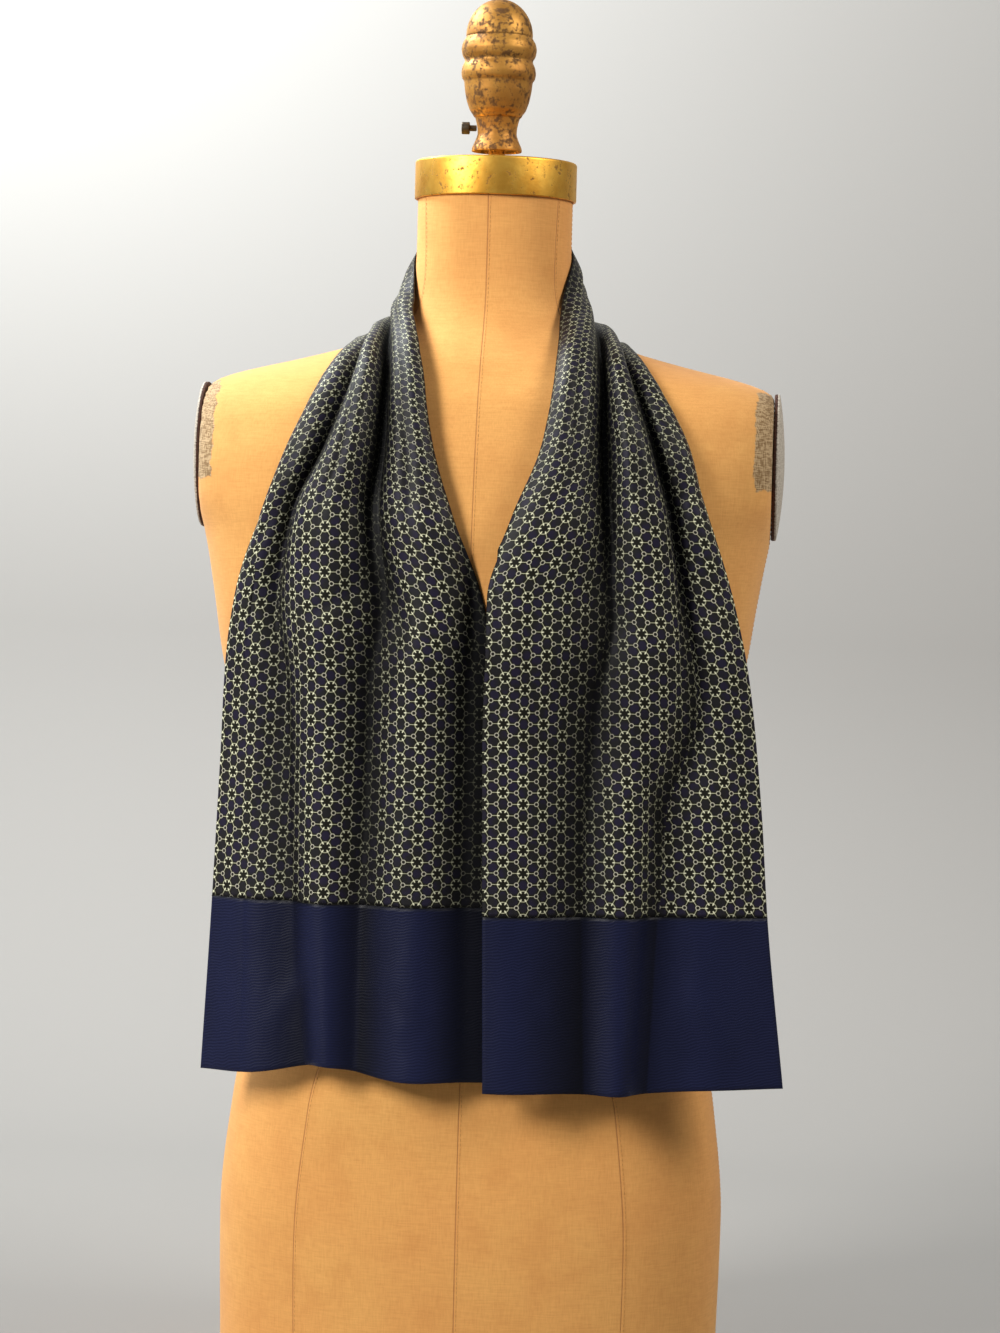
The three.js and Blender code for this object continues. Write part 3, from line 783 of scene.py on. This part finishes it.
def linen_cover(form):
    """Ochre linen with stains, slubs and pressed seams."""
    material, shade, shader = new_material(
        "ochre_linen", Metallic=0.0, Sheen_Weight=0.1, Sheen_Roughness=0.6, Specular_IOR_Level=0.25
    )
    place = shade.place()
    out_x, _, up_z = shade.parts(place)
    stain = shade.noise(place, 9.0, 5.0, 0.6)
    patch = shade.noise(place, 34.0, 4.0, 0.62)
    across = shade.grain(place, (90.0, 90.0, 1100.0), 2.0)
    upright = shade.grain(place, (1100.0, 1100.0, 110.0), 2.0)
    threads = across * 0.5 + upright * 0.5
    colour = shade.mix(stain.below(0.52, 0.22), form.linen_light, form.linen_mid)
    colour = shade.mix(patch.below(0.42, 0.16) * 0.25, colour, form.linen_dark)
    colour = shade.mix((threads - 0.38).most(0.0).least(1.0) * 1.5, colour, form.linen_dark)
    ragged = shade.noise(place, 120.0, 3.0) * 0.009
    beyond = 1 - (abs(out_x - AXIS[0]) + ragged).below(RUBBED_FROM, 0.0008)
    level = 1 - (abs(up_z - RUBBED_HEIGHT) + ragged).below(RUBBED_HALF, 0.001)
    rubbed = beyond * (1 - level)
    weft = shade.grain(place, (160.0, 160.0, 1300.0), 1.0)
    warp = shade.grain(place, (1300.0, 1300.0, 160.0), 1.0)
    tweed = shade.mix((weft * 0.5 + warp * 0.5).below(0.5, 0.07), form.worn_light, form.worn_dark)
    colour = shade.mix(rubbed * 0.85, colour, tweed)
    from_seam = abs(shade.point_value("seam"))
    line, press = from_seam.below(0.00035, 0.0003), from_seam.below(0.003, 0.003)
    height = threads * 0.25 - line * 0.8 + press * 0.4
    feed(
        shade, shader,
        Base_Color=shade.mix(line * 0.55, colour, form.seam_colour),
        Roughness=0.78 + threads * 0.15,
        Normal=shade.bump(height, 0.0005, 0.6, shade.bump(stain, 0.004, 0.2)),
    )
    return material


def worn_metal(name, base, light, dark, roughness, metallic, spots):
    """Lacquered or gilt metal, darker where it is tarnished and bare where it is rubbed."""
    material, shade, shader = new_material(name, Specular_IOR_Level=0.5)
    place = shade.place()
    cloud = shade.noise(place, 42.0, 4.0, 0.6)
    speck = shade.noise(place, 260.0, 4.0, 0.65)
    mottled = shade.noise(place, 110.0, 5.0, 0.7)
    tarnish = (speck * 0.5 + mottled * 0.5).below(spots, 0.05)
    # Darker in the grooves: partly tarnish lodged there and partly painted shade
    groove_tarnish_and_shade = shade.node("ShaderNodeNewGeometry", out=7).below(0.485, 0.02)
    colour = shade.mix(cloud.below(0.5, 0.2), base, light)
    colour = shade.mix(tarnish * 0.85, colour, dark)
    feed(
        shade, shader,
        Base_Color=shade.mix(groove_tarnish_and_shade * 0.6, colour, dark),
        Roughness=roughness + tarnish * 0.25 + mottled * 0.12,
        Metallic=metallic - tarnish * 0.5 * metallic,
        Normal=shade.bump(mottled * 0.6 + speck * 0.4, 0.0006, 0.35),
    )
    return material


def fine_grain(name, factors, roughness):
    """A material with a fine relief, its helper, and a mask of the grain that carries its colours."""
    material, shade, shader = new_material(name, Specular_IOR_Level=0.3)
    grain = shade.grain(shade.place(), factors, 5.0, 0.6)
    feed(shade, shader, Roughness=roughness + grain * 0.2, Normal=shade.bump(grain, 0.0005, 0.4))
    return material, shade, shader, grain


def base_wood():
    """Brown wood with its grain along the board."""
    material, shade, shader, grain = fine_grain("base_wood", (12.0, 150.0, 150.0), 0.5)
    colour = shade.mix(grain.below(0.5, 0.16), paint(142, 98, 56), paint(104, 66, 36))
    feed(shade, shader, Base_Color=colour)
    return material


def arm_board_tape_and_gap_shade():
    """Painted shade of the gap towards the form, pale tape round the board's outer face."""
    material, shade, shader, grain = fine_grain("arm_board_tape_and_gap_shade", (500.0, 500.0, 900.0), 0.65)
    tones = grain.below(0.5, 0.16)
    tape = shade.mix(tones, paint(206, 198, 184), paint(160, 150, 136))
    # Painted shade of the gap between board and form, in two tones along the grain
    board = shade.mix(tones, paint(84, 52, 38), paint(48, 28, 22))
    out_x = shade.parts(shade.place())[0]
    inner = (abs(out_x - AXIS[0]) + grain * 0.001).below(BOARD_SHADE_REACH, 0.0002)
    feed(shade, shader, Base_Color=shade.mix(inner, tape, board))
    return material


def backdrop_paint(studio):
    """Pale matt paint, clear from behind so that the back of the form can be seen."""
    material, shade, shader = new_material(
        "backdrop", Base_Color=opaque(studio.wall_colour), Roughness=0.9
    )
    nodes, link = shade.tree.nodes, shade.tree.links.new
    behind = shade.node("ShaderNodeNewGeometry", out=6)
    blend, clear = nodes.new("ShaderNodeMixShader"), nodes.new("ShaderNodeBsdfTransparent")
    link(behind.socket, blend.inputs[0])
    link(shader.outputs[0], blend.inputs[1])
    link(clear.outputs[0], blend.inputs[2])
    surface = next(node for node in nodes if node.bl_idname == "ShaderNodeOutputMaterial")
    link(blend.outputs[0], surface.inputs[0])
    return material


def thread_material(name, colour):
    """Twisted thread of one colour."""
    material, shade, shader = new_material(name, Specular_IOR_Level=0.3)
    twist = shade.noise(shade.place(), 1500.0, 2.0)
    feed(
        shade, shader,
        Base_Color=shade.mix(twist * 0.6, colour, [c * 0.5 for c in colour]),
        Roughness=0.6 + twist * 0.2,
    )
    return material


# Settings


def length(name, default, description):
    return FloatProperty(name=name, default=default, min=0, unit="LENGTH", description=description)


def tint(name, red, green, blue, description):
    return FloatVectorProperty(
        name=name, default=paint(red, green, blue), min=0, max=1, size=3, subtype="COLOR",
        description=description,
    )


def power(name, default, description):
    return FloatProperty(name=name, default=default, min=0, unit="POWER", description=description)


class ClothSettings(bpy.types.PropertyGroup):
    """Sizes and colours of the cravat."""

    thickness: length("Cloth thickness", 0.0012, "Both layers of the doubled silk together")
    flat_width: length("Flat width", 0.225, "Width of the strip before it is pleated")
    repeat: length("Repeat", 0.0163, "Distance from one printed star to the next along the cloth")
    rib_spacing: length("Rib spacing", 0.0021, "Distance between the ribs of the navy silk")
    line_colour: tint("Printed lines", 242, 242, 208, "Stars and spokes")
    ring_colour: tint("Small rings", 216, 212, 192, "Rings between three cells")
    halo_colour: tint("Halo of the lines", 70, 70, 40, "Where the pale print bleeds out")
    cell_colour: tint("Cells", 36, 32, 52, "Round cells between the stars")
    cell_shade: tint("Darker cells", 34, 33, 35, "The greyer ones of the round cells")
    ground_colour: tint("Ground", 28, 27, 20, "Olive ground of the print")
    band_colour: tint("Navy", 31, 36, 70, "Plain ends where the light falls")
    band_shade: tint("Deep navy", 15, 18, 40, "Plain ends in the shade")
    # Painted shade: how much darker the silk is drawn at the bottom of its folds
    fold_shade_depth: FloatProperty(
        name="Depth of folds", default=0.93, min=0, max=1,
        description="How much darker the silk is at the bottom of its folds",
    )


class FormSettings(bpy.types.PropertyGroup):
    """Colours of the dress form."""

    linen_light: tint("Linen", 238, 178, 100, "Cleanest part of the cover")
    linen_mid: tint("Linen, aged", 234, 168, 94, "Most of the cover")
    linen_dark: tint("Linen, stained", 206, 138, 70, "Stains and threads")
    worn_light: tint("Worn linen", 190, 168, 132, "Where the cover is rubbed through at the armholes")
    worn_dark: tint("Worn linen, dark", 112, 94, 66, "Dark threads of the rubbed places")
    seam_colour: tint("Seams", 150, 84, 48, "Shadow of the pressed seams")


class StudioSettings(bpy.types.PropertyGroup):
    """Light and backdrop."""

    key_power: power("Key light", 72.0, "Window light from the upper left")
    fill_power: power("Fill light", 31.0, "Soft light from the right")
    wall_power: power("Wall light", 62.0, "Light on the backdrop")
    wall_colour: tint("Wall", 147, 145, 142, "Floor and backdrop")


# Stitches


def stitch_tree():
    """Short stitches at even distances along a line."""
    tree = bpy.data.node_groups.new("stitch_run", "GeometryNodeTree")
    sockets = tree.interface
    sockets.new_socket("Line", in_out="INPUT", socket_type="NodeSocketGeometry")
    for name in ("Spacing", "Length", "Thickness"):
        sockets.new_socket(name, in_out="INPUT", socket_type="NodeSocketFloat")
    sockets.new_socket("Thread", in_out="INPUT", socket_type="NodeSocketMaterial")
    sockets.new_socket("Stitches", in_out="OUTPUT", socket_type="NodeSocketGeometry")
    given, result = tree.nodes.new("NodeGroupInput"), tree.nodes.new("NodeGroupOutput")

    def add(kind, settings=None, **links):
        made = tree.nodes.new(kind)
        for key, value in (settings or {}).items():
            setattr(made, key, value)
        for key, value in links.items():
            socket = made.inputs[key.replace("_", " ")]
            if isinstance(value, bpy.types.NodeSocket):
                tree.links.new(value, socket)
            else:
                socket.default_value = value
        return made

    curve = add("GeometryNodeMeshToCurve", Mesh=given.outputs["Line"])
    points = add("GeometryNodeCurveToPoints", {"mode": "LENGTH"}, Curve=curve.outputs[0])
    tree.links.new(given.outputs["Spacing"], points.inputs["Length"])
    turn = add("FunctionNodeAlignRotationToVector", {"axis": "Z"}, Vector=points.outputs["Tangent"])
    thick, long = given.outputs["Thickness"], given.outputs["Length"]
    size = add("ShaderNodeCombineXYZ", X=thick, Y=thick, Z=long)
    bead = add("GeometryNodeMeshIcoSphere", Radius=0.5, Subdivisions=1)
    placed = add(
        "GeometryNodeInstanceOnPoints", Points=points.outputs["Points"], Instance=bead.outputs[0],
        Rotation=turn.outputs[0], Scale=size.outputs[0],
    )
    real = add("GeometryNodeRealizeInstances", Geometry=placed.outputs[0])
    soft = add("GeometryNodeSetShadeSmooth", Geometry=real.outputs[0])
    thread = add("GeometryNodeSetMaterial", Geometry=soft.outputs[0], Material=given.outputs["Thread"])
    tree.links.new(thread.outputs[0], result.inputs[0])
    return tree


def sew(name, thread, lines, spacing, size, thickness):
    """Runs of stitches along lines of points in millimetres, made one plain mesh."""
    vertices = np.concatenate(lines)
    edges, start = [], 0
    for line in lines:
        edges += [(start + k, start + k + 1) for k in range(len(line) - 1)]
        start += len(line)
    mesh = bpy.data.meshes.new(name)
    mesh.from_pydata((vertices / 1000 + AXIS).tolist(), edges, [])
    made = in_scene(name, mesh)
    tree = bpy.data.node_groups.get("stitch_run") or stitch_tree()
    modifier = made.modifiers.new("stitches", "NODES")
    modifier.node_group = tree
    values = {"Spacing": spacing, "Length": size, "Thickness": thickness, "Thread": thread}
    for item in tree.interface.items_tree:
        if item.name in values and item.in_out == "INPUT":
            modifier[item.identifier] = values[item.name]
    evaluated = made.evaluated_get(bpy.context.evaluated_depsgraph_get())
    plain = bpy.data.meshes.new_from_object(evaluated)
    made.modifiers.clear()
    made.data = plain
    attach(made, "root")


def finish_piece(piece, material, slot, *nodes):
    piece.data.materials.clear()
    piece.data.materials.append(material)
    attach(piece, "root")
    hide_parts(*nodes)


# Operators


class CRAVAT_OT_cloth(bpy.types.Operator):
    """Make the printed strip and its two navy ends"""

    bl_idname = "cravat.cloth"
    bl_label = "Cravat"

    def execute(self, context):
        cloth = context.scene.cravat_cloth
        thickness, width = cloth.thickness * 1000, cloth.flat_width * 1000
        seams = (BAND_HEIGHT, CLOTH_LENGTH - BAND_HEIGHT)
        gap = 0.05  # on each side of a seam; the edges there swell out over it
        seamed, free = 2 * gap, thickness / 2
        size = (thickness, width)
        strip = cloth_shell("printed_strip", seams[0] + gap, seams[1] - gap, *size, (seamed, seamed))
        left = cloth_shell("left_band", 0, seams[0] - gap, *size, (free, seamed))
        right = cloth_shell("right_band", seams[1] + gap, CLOTH_LENGTH, *size, (seamed, free))
        finish_piece(strip, printed_silk(cloth), "printed_silk", "left_front", "neck_stretch", "right_front")
        navy = navy_silk(cloth)
        finish_piece(left, navy, "navy_silk", "left_end_band")
        finish_piece(right, navy, "navy_silk", "right_end_band")
        return {"FINISHED"}


class CRAVAT_OT_stitches(bpy.types.Operator):
    """Sew the seams of the cravat and of the form's cover"""

    bl_idname = "cravat.stitches"
    bl_label = "Stitches"

    def execute(self, context):
        lines = []
        for seam in (BAND_HEIGHT, CLOTH_LENGTH - BAND_HEIGHT):
            middle = cloth_grid(seam - 1, seam + 1)[0]
            sewn = middle + outward(middle) * 0.42
            lines.append(sewn[len(sewn) // 2])
        thread = thread_material("navy_thread", paint(12, 14, 34))
        sew("band_stitches", thread, lines, 0.0026, 0.002, 0.00035)
        heights = np.arange(16, 886, 4.0)
        turns = []
        for column in SEAM_NAMES:
            degrees = FORM_SEAMS.at(heights, column)
            turns += [np.radians(-90 + side * degrees) for side in (-1, 1)]
        turns += [np.full_like(heights, turn) for turn in (-math.pi / 2, math.pi / 2)]
        lines = [on_cover(turn, heights, lift=0.12, beside=1.6) for turn in turns]
        thread = thread_material("linen_thread", paint(214, 158, 92))
        sew("cover_stitches", thread, lines, 0.0034, 0.0026, 0.00034)
        return {"FINISHED"}


def soft_limit(x, limit, radius):
    """x held within a limit, with a small rounded corner in place of a hard one."""
    size = np.abs(x)
    over = limit - radius * np.log1p(np.exp(np.clip((limit - size) / radius, -40, 40)))
    return np.sign(x) * np.where(size < limit - 8 * radius, size, np.minimum(size, over))


def on_cover(turn, height, lift=0.0, beside=0.0):
    """Points of the form's cover at a turn about its axis, raised by lift and moved aside by beside."""
    x, y = np.cos(turn), np.sin(turn)
    reach = body_reach(x, y, height)
    turn = turn + beside / reach
    x, y = np.cos(turn), np.sin(turn)
    reach = body_reach(x, y, height) + lift
    return np.stack([soft_limit(x * reach, ARM_FACE + lift, 0.8), y * reach, height + 0 * reach], -1)


class CRAVAT_OT_form_cover(bpy.types.Operator):
    """Make the linen-covered body of the dress form"""

    bl_idname = "cravat.form_cover"
    bl_label = "Form's cover"

    def execute(self, context):
        sides, row_height = 180, 5.5
        heights = [
            np.linspace(a, b, max(2, math.ceil((b - a) / row_height)), endpoint=False)
            for a, b in zip(FORM.key, FORM.key[1:])
        ]
        heights = np.concatenate([*heights, FORM.key[-1:]])
        turn = np.linspace(-np.pi / 2, 1.5 * np.pi, sides, endpoint=False)
        grid = on_cover(turn[None, :] + 0 * heights[:, None], heights[:, None] + 0 * turn[None, :])
        vertices = np.concatenate([grid.reshape(-1, 3), [[0, 0, heights[0]], [0, 0, heights[-1]]]])
        cover = new_object("form_cover", vertices, ring_faces(len(heights), sides))
        degrees = np.degrees(turn + np.pi / 2)[None, :] + 0 * heights[:, None]
        folded = np.where(degrees > 180, 360 - degrees, degrees)
        columns = [FORM_SEAMS.at(heights, name)[:, None] for name in SEAM_NAMES]
        stops = [0 * columns[0], *columns, 0 * columns[0] + 180]
        panel = np.zeros_like(folded)
        for k, (a, b) in enumerate(zip(stops, stops[1:])):
            inside = (folded >= a) & (folded <= b)
            panel = np.where(inside, k + (folded - a) / (b - a), panel)
        panel = np.where(degrees > 180, -panel, panel)
        spread = np.hypot(grid[..., 0], grid[..., 1]) * np.radians(45)
        seam = np.sin(np.pi * panel) * spread / np.pi / 1000
        closing_points = [0.02, 0.02]  # far from any seam
        point_values(cover, "seam", seam.ravel(), closing_points)
        finish_piece(cover, linen_cover(context.scene.cravat_form), "linen", "form_body")
        return {"FINISHED"}


class CRAVAT_OT_boards(bpy.types.Operator):
    """Make the oval boards at the armholes and the board under the form"""

    bl_idname = "cravat.boards"
    bl_label = "Boards"

    def execute(self, context):
        # The arm boards' material holds a painted shade of the gap towards the form
        layers = arm_board_tape_and_gap_shade()
        for side, dome in (("left", -ARM_DOME), ("right", ARM_DOME)):
            node = f"arm_board_{side}"
            plate = oval_board(f"arm_plate_{side}", node, axis=0, square=2.0, edge=1.2, dome=dome)
            finish_piece(plate, layers, "arm_board", node)
        plate = oval_board("base_plate", "base_board", axis=2, square=2.2, edge=2.5)
        finish_piece(plate, base_wood(), "base_wood", "base_board")
        return {"FINISHED"}


def oval_board(name, node, axis, square, edge, dome=0.0):
    """An oval board that fills the node's box, thin along one axis, with rounded edges.
    dome: how far the middle of one face swells out, below 0 on the lower face."""
    low, high = (np.array(corner) * 1000 - AXIS * 1000 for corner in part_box(node))
    centre, half = (low + high) / 2, (high - low) / 2
    first, second = (k for k in range(3) if k != axis)
    sides = 96
    turn = np.linspace(0, 2 * np.pi, sides, endpoint=False)
    c, s = np.cos(turn), np.sin(turn)
    spread = np.abs(c / half[first]) ** square + np.abs(s / half[second]) ** square
    reach = 1 / spread ** (1 / square)
    arc = [(1 - math.cos(a), 1 - math.sin(a)) for a in np.linspace(math.pi / 2, 0, 5)]
    rim = [(1.0, edge * inset, -half[axis] + edge * lift) for inset, lift in arc]
    rim += [(share, inset, -level) for share, inset, level in rim[::-1]]
    shares = (0.85, 0.7, 0.55, 0.4, 0.25, 0.1)
    lower = [(share, 0.0, -half[axis] + min(dome, 0) * (1 - share**2)) for share in shares[::-1]]
    upper = [(share, 0.0, half[axis] + max(dome, 0) * (1 - share**2)) for share in shares]
    layers = lower + rim + upper
    vertices = []
    for share, inset, level in layers:
        ring = np.zeros((sides, 3))
        ring[:, first] = c * (reach * share - inset)
        ring[:, second] = s * (reach * share - inset)
        ring[:, axis] = level
        vertices.append(ring + centre)
    ends = np.array([centre, centre])
    ends[0, axis], ends[1, axis] = low[axis] + min(dome, 0), high[axis] + max(dome, 0)
    return new_object(name, np.concatenate([*vertices, ends]), ring_faces(len(layers), sides))


class CRAVAT_OT_metal(bpy.types.Operator):
    """Make the brass neck cap, the turned finial and its thumbscrew"""

    bl_idname = "cravat.metal"
    bl_label = "Cap and finial"

    def execute(self, context):
        cap_profile = [(57.3, 866), (59.2, 866), (59.2, 894), (0, 894)]
        cap = turned("brass_cap", [(0, 890.2), (57.3, 890.2)] + rounded(cap_profile, 2.0), 128)
        brass = worn_metal(
            "brass", paint(226, 164, 62), paint(248, 196, 88), paint(110, 72, 30), 0.4, 1.0, 0.42
        )
        finish_piece(cap, brass, "brass", "neck_cap")
        outline = [
            (0, 894.3), (6, 894.3), (6, 903.5), (15.2, 904.2), (17.2, 901.8), (18.4, 901.9),
            (18.3, 904.5), (16.2, 909), (14.3, 914), (14.5, 919), (15.6, 924), (16.4, 926.6),
            (17.6, 927.4), (18.2, 928.8), (20.6, 932), (23, 939), (24.4, 946), (25.1, 953),
            (26.8, 955.2), (27.4, 959), (26.6, 963.6), (24.9, 967), (24.9, 968.6), (26.8, 971.5),
            (27.6, 976), (26.8, 980.6), (24.9, 983.6), (24.0, 985.4),
        ]
        radius, low, high = 24.4, 986, 1013
        quarter = np.linspace(0, math.pi / 2, 16)[:-1]
        dome = [(radius * math.cos(a), low + (high - low) * math.sin(a)) for a in quarter]
        dome.append((0, high))
        finial = turned("turned_finial", rounded(outline + dome, 1.2, 3), 96)
        gilt = worn_metal(
            "gilt", paint(172, 118, 48), paint(206, 152, 70), paint(74, 46, 22), 0.46, 0.6, 0.465
        )
        finish_piece(finial, gilt, "gilt_wood", "finial")
        outline = [(0, 15.2), (2.2, 15.2), (2.2, 20.3), (4.5, 20.3), (4.5, 26), (0, 26)]
        screw = turned("thumbscrew", rounded(outline, 0.6, 3), 40)
        raised = Matrix.Translation(Vector(AXIS) + Vector((0, 0, SCREW_HEIGHT)))
        laid = Matrix.Rotation(-math.pi / 2, 4, "Y")
        screw.data.transform(raised @ laid @ Matrix.Translation(-Vector(AXIS)))
        steel = worn_metal(
            "dark_steel", paint(70, 62, 52), paint(96, 84, 66), paint(34, 28, 22), 0.4, 0.8, 0.42
        )
        finish_piece(screw, steel, "dark_steel", "finial_screw")
        return {"FINISHED"}


def swung(first, second, angle):
    """Two square directions turned together, the first one towards the second."""
    c, s = math.cos(angle), math.sin(angle)
    return first * c + second * s, second * c - first * s


class CRAVAT_OT_studio(bpy.types.Operator):
    """Make the floor, backdrop, lights and camera"""

    bl_idname = "cravat.studio"
    bl_label = "Studio"

    def execute(self, context):
        studio = context.scene.cravat_studio
        profile = [(-FLOOR_REACH, 0.0), (FLOOR_REACH, 0.0)]
        for a in np.linspace(0.1, math.pi / 2, 16):
            profile.append(
                (FLOOR_REACH + SWEEP_RADIUS * math.sin(a), SWEEP_RADIUS - SWEEP_RADIUS * math.cos(a))
            )
        profile.append((FLOOR_REACH + SWEEP_RADIUS, BACKDROP_REACH))
        vertices = [(x, y, z) for y, z in profile for x in (-BACKDROP_REACH, BACKDROP_REACH)]
        faces = [(2 * k, 2 * k + 1, 2 * k + 3, 2 * k + 2) for k in range(len(profile) - 1)]
        mesh = bpy.data.meshes.new("backdrop")
        mesh.from_pydata(vertices, [], faces)
        mesh.polygons.foreach_set("use_smooth", [True] * len(faces))
        mesh.materials.append(backdrop_paint(studio))
        in_scene("backdrop", mesh)

        def area(name, place, aim, size, power, colour):
            light = bpy.data.lights.new(name, "AREA")
            light.shape, light.energy, light.color = "RECTANGLE", power, colour
            light.size, light.size_y = size
            lamp = in_scene(name, light)
            lamp.location = place
            lamp.rotation_euler = (Vector(aim) - Vector(place)).to_track_quat("-Z", "Y").to_euler()

        area("key", (-1.65, -1.65, 1.75), (0, 0, 0.68), (0.8, 1.1), studio.key_power, (1.0, 0.98, 0.95))
        area("fill", (1.7, -0.7, 2.0), (0, 0, 0.75), (0.9, 1.0), studio.fill_power, (1.0, 0.95, 0.88))
        area("wall", (-0.95, 0.4, 1.8), (-0.05, 1.3, 1.25), (0.6, 0.6), studio.wall_power, (0.94, 0.98, 1.0))
        world = bpy.data.worlds.new("studio")
        world.use_nodes = True
        ambient = world.node_tree.nodes["Background"]
        ambient.inputs[0].default_value = opaque(paint(214, 220, 228))
        ambient.inputs[1].default_value = 0.16
        context.scene.world = world
        context.scene.view_settings.view_transform = "Standard"

        turn, roll = math.radians(CAMERA_TURN), math.radians(CAMERA_ROLL)
        right = Vector((math.cos(turn), math.sin(turn), 0))
        ahead = Vector((-math.sin(turn), math.cos(turn), 0))
        up = Vector((0, 0, 1))
        ahead, right = swung(ahead, right, AIM_ASIDE / FOCAL_LENGTH)
        ahead, up = swung(ahead, up, -AIM_DOWN / FOCAL_LENGTH)
        right, up = swung(right, up, roll)
        lens = bpy.data.cameras.new("camera")
        lens.sensor_fit, lens.sensor_width = "AUTO", SENSOR_SIZE
        lens.lens = FOCAL_LENGTH * SENSOR_SIZE / PHOTO_HEIGHT
        camera = in_scene("camera", lens)
        facing = Matrix((right, up, -ahead)).transposed().to_4x4()
        place = Vector(
            (CAMERA_DISTANCE * math.sin(turn), -CAMERA_DISTANCE * math.cos(turn), CAMERA_HEIGHT)
        )
        camera.matrix_world = Matrix.Translation(place + Vector(AXIS)) @ facing
        context.scene.camera = camera
        return {"FINISHED"}


class CRAVAT_PT_panel(bpy.types.Panel):
    """Lists the pieces and their settings"""

    bl_idname = "CRAVAT_PT_panel"
    bl_label = "Cravat on a dress form"
    bl_space_type = "VIEW_3D"
    bl_region_type = "UI"
    bl_category = "Cravat"

    def draw(self, context):
        for settings in ("cravat_cloth", "cravat_form", "cravat_studio"):
            group = getattr(context.scene, settings)
            box = self.layout.box()
            for name in group.__annotations__:
                box.prop(group, name)
        for operator in OPERATORS:
            self.layout.operator(operator.bl_idname)


OPERATORS = (
    CRAVAT_OT_form_cover,
    CRAVAT_OT_boards,
    CRAVAT_OT_metal,
    CRAVAT_OT_cloth,
    CRAVAT_OT_stitches,
    CRAVAT_OT_studio,
)
CLASSES = (ClothSettings, FormSettings, StudioSettings, *OPERATORS, CRAVAT_PT_panel)


def register():
    for cls in CLASSES:
        bpy.utils.register_class(cls)
    bpy.types.Scene.cravat_cloth = PointerProperty(type=ClothSettings)
    bpy.types.Scene.cravat_form = PointerProperty(type=FormSettings)
    bpy.types.Scene.cravat_studio = PointerProperty(type=StudioSettings)


def unregister():
    for name in ("cravat_cloth", "cravat_form", "cravat_studio"):
        delattr(bpy.types.Scene, name)
    for cls in reversed(CLASSES):
        bpy.utils.unregister_class(cls)


def main():
    register()
    for operator in OPERATORS:
        getattr(bpy.ops.cravat, operator.bl_idname.split(".")[1])()


if __name__ == "__main__":
    main()
